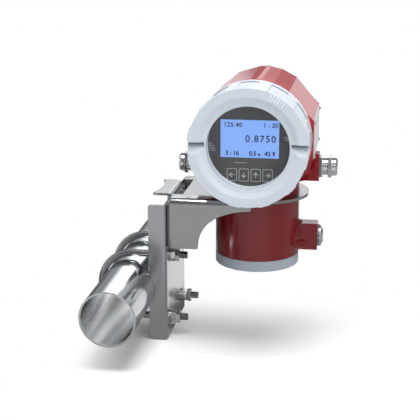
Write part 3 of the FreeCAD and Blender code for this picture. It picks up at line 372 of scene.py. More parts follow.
def coverPaintedShade(finish):
    # painted shade in the deep end of the cover's two tool grooves, where it grows with the depth, and at
    # the closed end of each grip pocket
    x, y, z = finish.axes()
    sideways = finish.beyond((x - head["x"]).size(), groovePaintedShade["inner"], groovePaintedShade["innerEdge"])
    level = finish.between(z - head["z"], groovePaintedShade["lower"], groovePaintedShade["upper"])
    deep = finish.step(y, groovePaintedShade["from"], groovePaintedShade["full"])
    deep = deep * finish.below(y, groovePaintedShade["to"], groovePaintedShade["toEdge"])
    radius = radiusRound(headAxis, x, z)
    pocket = finish.between(y, pocketPaintedShade["from"], pocketPaintedShade["to"])
    pocket = pocket * finish.between(radius, pocketPaintedShade["inner"], pocketPaintedShade["outer"])
    return (sideways * level * deep).largest(pocket)


rearTurned = {"radius": 0.048, "to": 0.06545, "toEdge": 0.00015, "pitch": 0.002}


def rearBare(finish):
    # bare thread inside the rear cover
    x, y, z = finish.axes()
    inside = finish.below(radiusRound(headAxis, x, z), rearTurned["radius"])
    return inside * finish.below(y, rearTurned["to"], rearTurned["toEdge"]), thread(y, rearTurned["pitch"])


capTurned = {"radius": 0.0425, "floor": 0.0272, "pitch": 0.0015}


def capBare(finish):
    # bare thread inside the terminal box's cap
    x, y, z = finish.axes()
    inside = finish.below(radiusRound(boxAxis, x, y), capTurned["radius"])
    return inside * finish.beyond(z, capTurned["floor"]), thread(z, capTurned["pitch"])


steelSettings = {
    "sheet": srgb(186, 187, 190),
    "bracket": srgb(171, 172, 174),
    "shade": (0.9, 1.07),
    "marks": {"scale": 420.0, "detail": 4.0, "roughness": 0.6},
    "markShare": 0.6,
    "markRough": 0.1,
    "markDepth": 0.00001,
    "stain": {"scale": 14.0, "detail": 3.0, "roughness": 0.6},
    "stainShare": 0.4,
    "stainRough": 0.06,
    "fleck": {"scale": 900.0, "roughness": 0.6},
    "fleckDepth": 0.000005,
    "edge": 0.0004,
}


def sheetSteel(name, colour, rough, stretch):
    # rolled stainless sheet: long fine rolling marks, faint stains, soft edges
    finish = Finish(name, metallic=1.0)
    marks = finish.noise(**steelSettings["marks"], stretch=stretch)
    stain = finish.noise(**steelSettings["stain"])
    fleck = finish.noise(**steelSettings["fleck"])
    cover = marks * steelSettings["markShare"] + stain * steelSettings["stainShare"]
    rough = rough + swing(marks, steelSettings["markRough"]) + swing(stain, steelSettings["stainRough"])
    finish.feed(baseColour=finish.shade(colour, *steelSettings["shade"], cover), roughness=rough)
    layers = [(marks, steelSettings["markDepth"]), (fleck, steelSettings["fleckDepth"])]
    finish.relief(*layers, edge=steelSettings["edge"])
    return finish.material


pipeSettings = {
    "colour": srgb(208, 210, 213),
    "shade": (0.86, 1.06),
    "rough": 0.13,
    "marks": {"scale": 380.0, "detail": 4.0, "roughness": 0.6, "stretch": (1, 0.02, 1)},
    "markRough": 0.1,
    "markDepth": 0.00002,
    "stain": {"scale": 22.0, "detail": 4.0, "roughness": 0.6, "stretch": (1, 0.4, 1)},
    "stainRough": 0.06,
    # painted light: the lining is a lighter copy of the steel, with bright streaks of painted reflection
    # along it
    "paintedLightLining": srgb(253, 254, 255),
    "paintedLightLiningShade": (0.86, 0.98),
    "liningRough": 0.1,
    "liningRadius": 0.0287,
    "liningEdge": 0.0003,
    "paintedStreaks": {"scale": 52.0, "stretch": (1, 0.01, 1)},
    "paintedStreakStep": (0.32, 0.68),
}


def pipeSteel(name):
    # drawn pipe: marks run along it; its lining is painted lighter, with broader bright bands of painted
    # reflection along it
    finish = Finish(name, metallic=1.0)
    marks = finish.noise(**pipeSettings["marks"])
    stain = finish.noise(**pipeSettings["stain"])
    # painted reflection: bright streaks that run along the lining
    paintedStreaks = finish.step(finish.noise(**pipeSettings["paintedStreaks"]), *pipeSettings["paintedStreakStep"])
    x, _, z = finish.axes()
    radius = radiusRound(pipeAxis, x, z)
    inside = finish.below(radius, pipeSettings["liningRadius"], pipeSettings["liningEdge"])
    tone = finish.shade(pipeSettings["colour"], *pipeSettings["shade"], (marks + stain) * 0.5)
    # the lining in its lighter colour, with the painted reflection streaks
    paintedLightLining = finish.shade(pipeSettings["paintedLightLining"], *pipeSettings["paintedLightLiningShade"], paintedStreaks)
    rough = pipeSettings["rough"] + swing(marks, pipeSettings["markRough"])
    rough = rough + swing(stain, pipeSettings["stainRough"]) + inside * pipeSettings["liningRough"]
    finish.feed(baseColour=finish.blend(inside, tone, paintedLightLining), roughness=rough)
    finish.relief((marks, pipeSettings["markDepth"]))
    return finish.material


boltSettings = {
    "bright": srgb(226, 227, 228),
    "rod": srgb(168, 169, 171),
    "washer": srgb(205, 205, 205),
    "brass": srgb(196, 164, 92),
    "shade": (0.84, 1.08),
    "marks": {"scale": 700.0, "detail": 3.0, "roughness": 0.6},
    "markRough": 0.08,
    "markDepth": 0.00002,
    "stain": {"scale": 60.0, "detail": 3.0, "roughness": 0.6},
    "threadFrom": 0.0505,
    "pitch": 0.001,
    "threadDepth": 0.0004,
    # painted shade: the colour laid in the thread's root, and how much of it
    "root": srgb(60, 60, 60),
    "rootShadeShare": 0.6,
}


def boltSteel(name, colour, rough, threaded=False):
    # bright fastener steel; a threaded one has its thread beyond threadFrom along X, with painted shade dark
    # in its root
    finish = Finish(name, metallic=1.0)
    marks = finish.noise(**boltSettings["marks"])
    tone = finish.shade(colour, *boltSettings["shade"], finish.noise(**boltSettings["stain"]))
    layers = [(marks, boltSettings["markDepth"])]
    if threaded:
        along = finish.axes()[0]
        start = boltSettings["threadFrom"]
        mask = finish.step(along, start, start + boltSettings["pitch"])
        ridges = thread(along, boltSettings["pitch"])
        # painted shade darkens the thread's root
        tone = finish.blend(mask * (1 - ridges) * boltSettings["rootShadeShare"], tone, boltSettings["root"])
        layers.append((ridges * mask, boltSettings["threadDepth"]))
    finish.feed(baseColour=tone, roughness=rough + swing(marks, boltSettings["markRough"]))
    finish.relief(*layers)
    return finish.material


mouldedSettings = {
    "black": srgb(34, 34, 36),
    "potting": srgb(26, 26, 28),
    "green": srgb(52, 92, 62),
    "rubber": srgb(24, 24, 25),
    "silicone": srgb(236, 239, 244),
    "fibre": srgb(120, 122, 125),
    "shade": (0.88, 1.1),
    "grain": {"detail": 3.0, "roughness": 0.55},
    "grainShare": 0.4,
    "grainRough": 0.16,
    "cloud": {"scale": 35.0},
    "cloudShare": 0.6,
}


def moulded(name, colour, rough, scale=500.0, depth=0.00003):
    # moulded plastic or rubber: a grain of the given scale and depth over slow clouds
    finish = Finish(name)
    grain = finish.noise(scale, **mouldedSettings["grain"])
    cloud = finish.noise(**mouldedSettings["cloud"])
    cover = cloud * mouldedSettings["cloudShare"] + grain * mouldedSettings["grainShare"]
    finish.feed(baseColour=finish.shade(colour, *mouldedSettings["shade"], cover),
                roughness=rough + swing(grain, mouldedSettings["grainRough"]))
    finish.relief((grain, depth))
    return finish.material


boardSettings = {
    "mask": srgb(18, 92, 48),
    "track": srgb(40, 130, 70),
    "pad": srgb(205, 190, 130),
    "rowPitch": 0.0036,
    "rowStep": (0.86, 0.92),
    "columnPitch": 0.0054,
    "columnStep": (0.93, 0.97),
    "gate": {"scale": 120.0, "detail": 1.0},
    "gateStep": (0.48, 0.52),
    "padStep": (0.93, 0.96),
    "padMetal": 0.8,
    "padRough": -0.12,
    "rough": 0.42,
    "depth": 0.00004,
}


def circuitBoard(name):
    # green solder mask with fine tracks on a grid, broken by noise, and small pads where the rows
    # cross the columns
    finish = Finish(name)
    x, _, z = finish.axes()
    rows = thread(z, boardSettings["rowPitch"])
    columns = thread(x, boardSettings["columnPitch"])
    lines = finish.step(rows, *boardSettings["rowStep"])
    lines = lines.largest(finish.step(columns, *boardSettings["columnStep"]))
    tracks = lines * finish.step(finish.noise(**boardSettings["gate"]), *boardSettings["gateStep"])
    pads = finish.step(rows * columns, *boardSettings["padStep"])
    tone = finish.blend(tracks, boardSettings["mask"], boardSettings["track"])
    finish.feed(baseColour=finish.blend(pads, tone, boardSettings["pad"]),
                metallic=pads * boardSettings["padMetal"],
                roughness=boardSettings["rough"] + pads * boardSettings["padRough"])
    finish.relief((tracks + pads, boardSettings["depth"]))
    return finish.material


lcdSettings = {
    "light": srgb(137, 179, 255),
    "lightShade": (0.94, 1.0),
    "glow": 1.09,
    "rimWide": 0.0305,
    "rimTall": 0.02,
    "rimEdge": 0.002,
    "rimShare": 0.7,
    "dot": 0.00045,
    "dotShare": 0.3,
    "glass": srgb(24, 34, 60),
    "body": srgb(40, 42, 46),
    "rough": 0.25,
    "frontDepth": 0.0004,
    "frontEdge": 0.0002,
}


def lcdFace(name):
    # backlit panel: an even blue glow with a faint dot grid, a little darker towards the rim; the glow
    # is on the front only
    finish = Finish(name, roughness=lcdSettings["rough"], emissionStrength=lcdSettings["glow"])
    x, y, z = finish.axes()
    rim = finish.beyond((x - lcdMiddle.x).size(), lcdSettings["rimWide"], lcdSettings["rimEdge"])
    rim = rim.largest(finish.beyond((z - lcdMiddle.z).size(), lcdSettings["rimTall"], lcdSettings["rimEdge"]))
    dots = thread(x, lcdSettings["dot"]) * thread(z, lcdSettings["dot"])
    bright = (1 - rim) * lcdSettings["rimShare"] + dots * lcdSettings["dotShare"]
    light = finish.shade(lcdSettings["light"], *lcdSettings["lightShade"], bright)
    front = finish.below(y, head["lcd"] + lcdSettings["frontDepth"], lcdSettings["frontEdge"])
    finish.feed(baseColour=finish.blend(front, lcdSettings["body"], lcdSettings["glass"]),
                emissionColour=finish.blend(front, (0, 0, 0, 1), light))
    return finish.material


glassSettings = {
    "colour": srgb(40, 46, 48),
    "ior": 1.5,
    "alpha": 0.06,
    "smearAlpha": 0.03,
    "rough": 0.03,
    "smearRough": 0.05,
    "smear": {"scale": 18.0, "detail": 3.0, "roughness": 0.6},
}


def clearGlass(name):
    # clear plate: nearly see-through, with a clean gloss and a faint smear
    finish = Finish(name, baseColour=glassSettings["colour"], ior=glassSettings["ior"])
    smear = finish.noise(**glassSettings["smear"])
    finish.feed(alpha=glassSettings["alpha"] + smear * glassSettings["smearAlpha"],
                roughness=glassSettings["rough"] + smear * glassSettings["smearRough"])
    return finish.material


filmSettings = {
    "colour": srgb(98, 98, 98),
    "shade": (0.92, 1.08),
    "cloud": {"scale": 30.0},
    "emboss": {"scale": 1500.0, "roughness": 0.6},
    "embossRough": 0.14,
    "embossDepth": 0.000015,
    "rough": 0.46,
    "edge": 0.0002,
}


def printedFilm(name):
    # matt polyester film with a fine emboss
    finish = Finish(name)
    emboss = finish.noise(**filmSettings["emboss"])
    cloud = finish.noise(**filmSettings["cloud"])
    finish.feed(baseColour=finish.shade(filmSettings["colour"], *filmSettings["shade"], cloud),
                roughness=filmSettings["rough"] + swing(emboss, filmSettings["embossRough"]))
    finish.relief((emboss, filmSettings["embossDepth"]), edge=filmSettings["edge"])
    return finish.material


plateSettings = {
    "colour": srgb(226, 229, 233),
    "shade": (0.92, 1.04),
    "metal": 0.75,
    "rough": 0.36,
    "marks": {"scale": 500.0, "detail": 3.0, "roughness": 0.6, "stretch": (1, 0.04, 1)},
    "markRough": 0.1,
    "markDepth": 0.00002,
    "line": srgb(90, 94, 100),
    "lineInset": (0.0025, 0.0024),
    "lineWidth": 0.0005,
    "lineDepth": 0.00008,
    "edge": 0.0002,
}


def plateSteel(name):
    # blank plate: satin metal with a thin engraved line that runs round it, inside its rim
    finish = Finish(name, metallic=plateSettings["metal"])
    _, y, z = finish.axes()
    marks = finish.noise(**plateSettings["marks"])
    middle = boxMiddle("nameplate")
    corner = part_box("nameplate")[1]
    across = (y - middle.y).size()
    upward = (z - middle.z).size()
    halfLong = corner.y - middle.y - plateSettings["lineInset"][0]
    halfTall = corner.z - middle.z - plateSettings["lineInset"][1]
    width = plateSettings["lineWidth"]
    ends = finish.between(across, halfLong - width, halfLong) * finish.below(upward, halfTall + fineEdge)
    sides = finish.between(upward, halfTall - width, halfTall) * finish.below(across, halfLong + fineEdge)
    line = ends.largest(sides)
    tone = finish.shade(plateSettings["colour"], *plateSettings["shade"], marks)
    finish.feed(baseColour=finish.blend(line, tone, plateSettings["line"]),
                roughness=plateSettings["rough"] + swing(marks, plateSettings["markRough"]))
    layers = [(marks, plateSettings["markDepth"]), (1 - line, plateSettings["lineDepth"])]
    finish.relief(*layers, edge=plateSettings["edge"])
    return finish.material


platedSettings = {
    "gland": srgb(240, 242, 246),
    "plug": srgb(226, 230, 235),
    "stain": {"scale": 90.0, "detail": 3.0, "roughness": 0.6},
    "shade": (0.86, 1.0),
    "rings": {"scale": 1400.0, "stretch": (1, 0.02, 0.02)},
    "ringRough": 0.16,
    "ringDepth": 0.00003,
    "cuts": {"scale": 230.0, "detail": 1.0, "stretch": (1, 0.01, 0.01)},
    "cutStep": (0.6, 0.66),
    "cutShade": (0.3, 0.42),
    "edge": 0.00035,
}


def plated(name, colour, rough):
    # nickel plate over turned brass: fine turning rings that follow X, some of them dark cuts
    finish = Finish(name, metallic=1.0)
    rings = finish.noise(**platedSettings["rings"])
    stain = finish.noise(**platedSettings["stain"])
    cuts = finish.step(finish.noise(**platedSettings["cuts"]), *platedSettings["cutStep"])
    tone = finish.shade(colour, *platedSettings["shade"], stain)
    dark = finish.shade(colour, *platedSettings["cutShade"], stain)
    finish.feed(baseColour=finish.blend(cuts, tone, dark),
                roughness=rough + swing(rings, platedSettings["ringRough"]))
    finish.relief((rings, platedSettings["ringDepth"]), edge=platedSettings["edge"])
    return finish.material


# each finish's own name and colour, and its roughness where that differs; then what else it has
finishes = {
    # the head's red has painted shade low down
    "redHead": paintedCasting("headPaint", paintSettings["red"], 0.14, headBare, low=paintSettings["shadedLowRed"]),
    # the terminal box gets the darker copy of the red, as painted shade
    "redBox": paintedCasting("boxPaint", paintSettings["shadedBoxRed"], 0.16, boxBare),
    # the cover's paint has painted shade in its grooves and at its pocket ends
    "whiteCover": paintedCasting("coverPaint", paintSettings["white"], 0.34, coverBare, soot=coverPaintedShade),
    "whiteRear": paintedCasting("rearCoverPaint", paintSettings["white"], 0.34, rearBare),
    "greyCap": paintedCasting("capPaint", paintSettings["grey"], 0.34, capBare),
    # the ribs take the lighter copy of the white: a painted highlight
    "ribs": paintedCasting("ribPaintHighlight", paintSettings["ribHighlightWhite"], 0.34),
    # the retaining ring glows faintly: painted light
    "ring": paintedCasting("ringPaint", paintSettings["ringWhite"], 0.34, glow=paintSettings["ringPaintedGlow"]),
    "pipe": pipeSteel("pipeSteel"),
    "channel": sheetSteel("channelSteel", steelSettings["sheet"], 0.2, (1, 1, 0.05)),
    "bracket": sheetSteel("bracketSteel", steelSettings["bracket"], 0.13, (0.05, 1, 1)),
    "uBolt": boltSteel("uBoltSteel", boltSettings["rod"], 0.14, threaded=True),
    "bolt": boltSteel("boltSteel", boltSettings["bright"], 0.16),
    "washer": boltSteel("washerSteel", boltSettings["washer"], 0.2),
    "brass": boltSteel("brassPost", boltSettings["brass"], 0.3),
    "glass": clearGlass("windowGlass"),
    "lcd": lcdFace("lcdFace"),
    "film": printedFilm("overlayFilm"),
    "black": moulded("blackPlastic", mouldedSettings["black"], 0.5),
    "module": moulded("pottedModule", mouldedSettings["potting"], 0.4, scale=300.0),
    "block": moulded("terminalPlastic", mouldedSettings["green"], 0.45),
    "rubber": moulded("sealRubber", mouldedSettings["rubber"], 0.62, scale=900.0, depth=0.00004),
    "silicone": moulded("paleSilicone", mouldedSettings["silicone"], 0.5, scale=900.0, depth=0.00002),
    "board": circuitBoard("circuitBoard"),
    "plate": plateSteel("blankPlate"),
    "nickel": plated("nickelPlate", platedSettings["gland"], 0.1),
    "plug": plated("plugPlate", platedSettings["plug"], 0.24),
    "washerGrey": moulded("greyFibre", mouldedSettings["fibre"], 0.6),
}
print("stage: finishes,", len(finishes))

nodeFinishes = {
    "redHead": ["head_housing"],
    "redBox": ["terminal_box"],
    "whiteCover": ["front_cover"],
    "whiteRear": ["rear_cover"],
    "greyCap": ["terminal_box_cap"],
    "pipe": ["mounting_pipe"],
    "channel": ["saddle_channel"],
    "bracket": ["transmitter_bracket"],
    "uBolt": ["u_bolt_front", "u_bolt_rear"],
    "bolt": ["u_bolt_nuts", "u_bolt_lock_nuts", "bracket_screws", "bracket_nuts", "neck_screws",
             "box_terminal_screws", "rear_terminal_screws", "nameplate_rivets"],
    "washer": ["u_bolt_washers"],
    "brass": ["box_block_posts", "main_board_posts", "display_posts"],
    "glass": ["window_glass"],
    "lcd": ["lcd_module"],
    "film": ["keypad_overlay"],
    "ring": ["glass_retaining_ring"],
    "black": ["display_frame"],
    "module": ["power_module"],
    "block": ["box_terminal_block", "rear_terminal_block"],
    "silicone": ["glass_gasket"],
    "washerGrey": ["plug_washer"],
    "rubber": ["front_cover_seal", "rear_cover_seal", "terminal_cap_seal",
               "gland_insert_right", "gland_insert_left"],
    "board": ["main_board", "display_board"],
    "plate": ["nameplate"],
    "nickel": ["gland_body_right", "gland_nut_right", "gland_body_left", "gland_nut_left"],
    "plug": ["blind_plug"],
}
smoothing = {"weld": 0.000002, "splitAngle": 11.0, "pieceWeld": 0.0000001, "pieceAngle": 35.0}


def dressNode(name, finish):
    # CAD meshes come as loose flat triangles: weld them, smooth them and split at real edges
    node = nodes[name]
    node.data.materials.clear()
    node.data.materials.append(finish)
    node.data.polygons.foreach_set("use_smooth", np.ones(len(node.data.polygons), bool))
    weld = node.modifiers.new("weld", "WELD")
    weld.merge_threshold = smoothing["weld"]
    split = node.modifiers.new("split", "EDGE_SPLIT")
    split.split_angle = math.radians(smoothing["splitAngle"])


dressed = set()
for key, names in nodeFinishes.items():
    for name in names:
        dressNode(name, finishes[key])
        dressed.add(name)
print("stage: CAD nodes dressed,", len(dressed), "left over:", sorted(set(nodes) - dressed))


def addObject(name, data):
    thing = bpy.data.objects.new(name, data)
    bpy.context.scene.collection.objects.link(thing)
    return thing


def addPiece(name, mesh, finish, body):
    mesh.materials.append(finish)
    piece = addObject(name, mesh)
    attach(piece, body)


def meshPiece(name, points, quads, finish, body, slot):
    # merge doubled points, turn the faces outwards, keep hard edges hard
    mesh = bpy.data.meshes.new(name)
    mesh.from_pydata(points.tolist(), [], quads.tolist())
    shape = bmesh.new()
    shape.from_mesh(mesh)
    bmesh.ops.remove_doubles(shape, verts=shape.verts, dist=smoothing["pieceWeld"])
    bmesh.ops.recalc_face_normals(shape, faces=shape.faces)
    for face in shape.faces:
        face.smooth = True
    limit = math.radians(smoothing["pieceAngle"])
    for edge in shape.edges:
        edge.smooth = len(edge.link_faces) == 2 and edge.calc_face_angle(0) < limit
    shape.to_mesh(mesh)
    shape.free()
    addPiece(name, mesh, finish, body)


def joined(parts):
    # several (points, quads) into one
    points, quads, count = [], [], 0
    for somePoints, someQuads in parts:
        points.append(somePoints)
        quads.append(someQuads + count)
        count += len(somePoints)
    return np.concatenate(points), np.concatenate(quads)


def gridQuads(rows, columns, wrapColumns=False):
    # faces between neighbours of a grid of points, row after row
    index = np.arange(rows * columns).reshape(rows, columns)
    if wrapColumns:
        index = np.hstack([index, index[:, :1]])
    return np.stack([index[:-1, :-1], index[1:, :-1], index[1:, 1:], index[:-1, 1:]], axis=-1).reshape(-1, 4)


def unit(vectors):
    return vectors / np.linalg.norm(vectors, axis=1)[:, None]


def ribbon(path, width, low, high):
    # a flat printed line: a rectangle from y = low to y = high, carried along a path of (x, z) points.
    # Its sides stand off square to the mean of the two stretches that meet at a point, by half the width
    # over the cosine of half the bend, so corners stay mitred. A path that ends where it began is closed
    closed = np.allclose(path[0], path[-1], rtol=0, atol=1e-9)
    if closed:
        path = path[:-1]
    ahead = np.roll(path, -1, axis=0) - path
    behind = path - np.roll(path, 1, axis=0)
    if not closed:
        ahead[-1] = behind[-1]
        behind[0] = ahead[0]
    ahead = unit(ahead)
    middle = unit(ahead + unit(behind))
    stretch = 1 / np.clip(np.sum(ahead * middle, axis=1), 0.4, 1)
    side = np.stack([-middle[:, 1], middle[:, 0]], axis=1) * (width / 2 * stretch)[:, None]
    corners = ((path + side, low), (path + side, high), (path - side, high), (path - side, low))
    rings = np.stack([np.column_stack([p[:, 0], np.full(len(p), y), p[:, 1]]) for p, y in corners], axis=1)
    count = len(path) * 4
    if closed:
        quads = gridQuads(len(path) + 1, 4, True) % count
    else:
        ends = [[0, 1, 2, 3], [count - 1, count - 2, count - 3, count - 4]]
        quads = np.concatenate([gridQuads(len(path), 4, True), ends])
    return rings.reshape(-1, 3), quads


def roundedBox(x, z, halfWide, halfTall, corner, steps=5):
    # closed path round a rectangle: a quarter circle of points round the middle of each corner
    turns = np.linspace(0, math.pi / 2, steps)
    parts = []
    for quarter, (sideX, sideZ) in enumerate(((1, 1), (-1, 1), (-1, -1), (1, -1))):
        angle = turns + quarter * math.pi / 2
        parts.append(np.column_stack([
            x + sideX * (halfWide - corner) + corner * np.cos(angle),
            z + sideZ * (halfTall - corner) + corner * np.sin(angle),
        ]))
    path = np.concatenate(parts)
    return np.vstack([path, path[:1]])


# how deep the ink's root is, how high it stands, and how much lower a stroke is that another one crosses
ink = {"root": 0.00002, "raise": 0.00006, "overlap": 0.00002}


def inkFinish(name, colour, rough, shade, scale):
    # printed ink, a little uneven in tone
    finish = Finish(name, roughness=rough)
    finish.feed(baseColour=finish.shade(colour, *shade, finish.noise(scale)))
    return finish.material


inkPale = inkFinish("palePrint", srgb(205, 205, 203), rough=0.5, shade=(0.92, 1.05), scale=600.0)
inkDark = inkFinish("lcdSegments", srgb(20, 27, 44), rough=0.35, shade=(0.85, 1.2), scale=900.0)


def inkSpan(face):
    # y of the ink's root and of its top, on a face that looks towards -Y
    return face + ink["root"], face - ink["raise"]


keys = {
    "row": (0.0004, -0.0317),  # middle of the row, from the head's axis
    "pitch": 0.01225,
    "halfWide": 0.00485,
    "halfTall": 0.0064,
    "corner": 0.0009,
    "line": 0.0007,
    "turns": (90, 180, 0, -90),  # of each arrow, in degrees from up towards -X
    "arrow": 0.0044,
    "arrowLine": 0.0010,
    "tail": -0.62,  # places in the arrow, as shares of its size
    "neck": 0.5,
    "tip": 0.62,
    "wing": 0.55,
}


def keyRow():
    # four outlined touch keys with plain arrows, each a shaft and a point turned to its side
    low, high = inkSpan(head["display"])
    reach = keys["arrow"]
    shaft = np.array([[0, keys["tail"]], [0, keys["neck"]]]) * reach
    point = np.array([[-keys["wing"], 0.0], [0, keys["tip"]], [keys["wing"], 0.0]]) * reach
    z = head["z"] + keys["row"][1]
    parts = []
    for i, turn in enumerate(keys["turns"]):
        x = head["x"] + keys["row"][0] + (i - 1.5) * keys["pitch"]
        outline = roundedBox(x, z, keys["halfWide"], keys["halfTall"], keys["corner"])
        parts.append(ribbon(outline, keys["line"], low, high))
        spin = math.radians(turn)
        rotate = np.array([[math.cos(spin), -math.sin(spin)], [math.sin(spin), math.cos(spin)]])
        for stroke, top in ((shaft, high + ink["overlap"]), (point, high)):
            parts.append(ribbon(stroke @ rotate.T + (x, z), keys["arrowLine"], low, top))
    meshPiece("keyPrint", *joined(parts), inkPale, "transmitter", "overlay_film")


# level lines printed beside and under the display: x from, x to and z, from the head's axis
stripes = {
    "left": [
        (-0.0457, -0.0397, 0.0014),
        (-0.0455, -0.0382, -0.0001),
        (-0.0452, -0.0366, -0.0017),
        (-0.0448, -0.0356, -0.0034),
        (-0.0443, -0.0354, -0.0051),
        (-0.0436, -0.0346, -0.0067),
    ],
    "right": [(0.0346, 0.0388, 0.0087), (0.0353, 0.0392, 0.0070), (0.0364, 0.0398, 0.0054)],
    "under": [(-0.0154, -0.0027, -0.0190)],
    "width": 0.0005,
}


def stripePrint():
    # the fans of thin lines beside the display and the short rule below it
    parts = []
    for start, end, height in stripes["left"] + stripes["right"] + stripes["under"]:
        path = np.array([[start, height], [end, height]]) + headAxis
        parts.append(ribbon(path, stripes["width"], *inkSpan(head["display"])))
    meshPiece("stripePrint", *joined(parts), inkPale, "transmitter", "overlay_film")


keyRow()
stripePrint()
print("stage: overlay print")

# plain numbers on the display: right end and foot line from the panel's middle, and how much the
# strokes are thickened and the letters spread
figures = {
    "main": {"text": "0.8750", "size": 0.0098, "at": (0.0268, -0.0031), "bold": 0.00012, "spread": 1.2},
    "first": {"text": "125.40", "size": 0.0064, "at": (-0.0080, 0.0122), "bold": 0.00012, "spread": 1.1},
    "second": {"text": "1 : 20", "size": 0.0064, "at": (0.0289, 0.0122), "bold": 0.00012, "spread": 1.05},
    "third": {"text": "3 : 16", "size": 0.0062, "at": (-0.0110, -0.0172), "bold": 0.00018, "spread": 1.0},
    "fourth": {"text": "0.5", "size": 0.0062, "at": (0.0068, -0.0172), "bold": 0.00018, "spread": 1.0},
    "fifth": {"text": "42", "size": 0.0062, "at": (0.0214, -0.0172), "bold": 0.00018, "spread": 1.0},
}
figureLayer = {"lift": 0.00005, "halfThick": 0.00004}


def figure(name, setting):
    # a plain number laid on the panel, its right end at its place
    text = bpy.data.curves.new(name, "FONT")
    text.body = setting["text"]
    text.size = setting["size"]
    text.offset = setting["bold"]
    text.space_character = setting["spread"]
    text.align_x = "RIGHT"
    text.extrude = figureLayer["halfThick"]
    text.resolution_u = 6
    carrier = addObject(name + "Text", text)
    bpy.context.view_layer.update()
    mesh = bpy.data.meshes.new_from_object(carrier)
    bpy.data.objects.remove(carrier)
    right, foot = setting["at"]
    place = (lcdMiddle.x + right, head["lcd"] - figureLayer["lift"], lcdMiddle.z + foot)
    mesh.transform(Matrix.Translation(place) @ Matrix.Rotation(math.pi / 2, 4, "X"))
    mesh.materials.clear()
    addPiece(name, mesh, inkDark, "transmitter")


for key, setting in figures.items():
    figure("figure" + key.title(), setting)

# two filled cells, from the panel's middle: an upright bar and a square dot
cells = {"bar": (0.0246, -0.0149), "barWide": 0.0018, "barTall": 0.0044,
         "dot": (0.0096, -0.0162), "dotSize": 0.0021}


def lcdMarks():
    # two filled cells of a plain gauge on the bottom line
    low, high = inkSpan(head["lcd"])
    middle = (lcdMiddle.x, lcdMiddle.z)
    halfBar = np.array([0, cells["barTall"] / 2])
    halfDot = np.array([cells["dotSize"] / 2, 0])
    bar = np.add(middle, cells["bar"])
    dot = np.add(middle, cells["dot"])
    strokes = [
        ribbon(np.array([bar - halfBar, bar + halfBar]), cells["barWide"], low, high),
        ribbon(np.array([dot - halfDot, dot + halfDot]), cells["dotSize"], low, high),
    ]
    meshPiece("lcdMarks", *joined(strokes), inkDark, "transmitter", "lcd_glass")


lcdMarks()
print("stage: display figures")

# angles are degrees from the top towards +X, lengths metres
ribFan = {"from": 23.5, "to": 38.5, "count": 6, "inner": 0.0524, "outer": 0.0602, "halfWidth": 0.00085,
          "height": 0.0009, "root": 0.0002, "lift": 0.00003, "points": (13, 9)}


def coverRibs():
    # a fan of fine radial ribs on the cover's face: each a low rounded ridge with a root in the cover.
    # along the rib the height rises and falls with three times a sine, cut off at one, and across it
    # with a cosine
    rows, columns = ribFan["points"]
    along = np.linspace(0, 1, rows)[:, None]
    across = np.linspace(-1, 1, columns)[None, :]
    ridge = np.clip(np.sin(along * math.pi) * 3, 0, 1) * np.cos(across * math.pi / 2)
    radius = ribFan["inner"] + (ribFan["outer"] - ribFan["inner"]) * along + 0 * across
    side = across * ribFan["halfWidth"] + 0 * along
    parts = []
    for angle in np.radians(np.linspace(ribFan["from"], ribFan["to"], ribFan["count"])):
        x = head["x"] + radius * math.sin(angle) + side * math.cos(angle)
        z = head["z"] + radius * math.cos(angle) - side * math.sin(angle)
        for depth in (-ribFan["height"], ribFan["root"]):
            y = head["face"] + ribFan["lift"] + ridge * depth
            parts.append((np.stack([x, y, z], axis=-1).reshape(-1, 3), gridQuads(rows, columns)))
    # the ribs carry the lighter white, a painted highlight
    meshPiece("coverRibs", *joined(parts), finishes["ribs"], "front_lid", "cover_paint")


coverRibs()
print("stage: cover ribs")


floorSettings = {
    "gap": 0.0002,
    "size": 30.0,
    "tone": 0.95,
    "grain": {"scale": 3.0},
    "grainShade": (0.99, 1.01),
    "middle": (0.08, 0.0),
    "fade": (0.2, 0.64),  # distances between which the floor melts into white
    "rearFade": (-0.04, 0.1),  # y between which it melts behind the object
    "leftFade": (-0.015, 0.06),  # and -x between which it melts on the left
    "lift": 0.03,
}

# brightness of the floor in reflections. A sector goes by bearing round the middle, in degrees from +Y
# towards +X: from, to, softness of its edges, and how much it adds
floorMirror = {
    "ground": 0.14,
    "front": 0.52,
    "frontFrom": (110.0, 150.0),
    "frontFade": (0.12, 0.5),
    "frontNear": 0.45,
    "sectors": [(-14.0, 32.0, 8.0, 0.81), (50.0, 120.0, 12.0, 0.26), (-100.0, -66.0, 5.0, 0.5)],
}


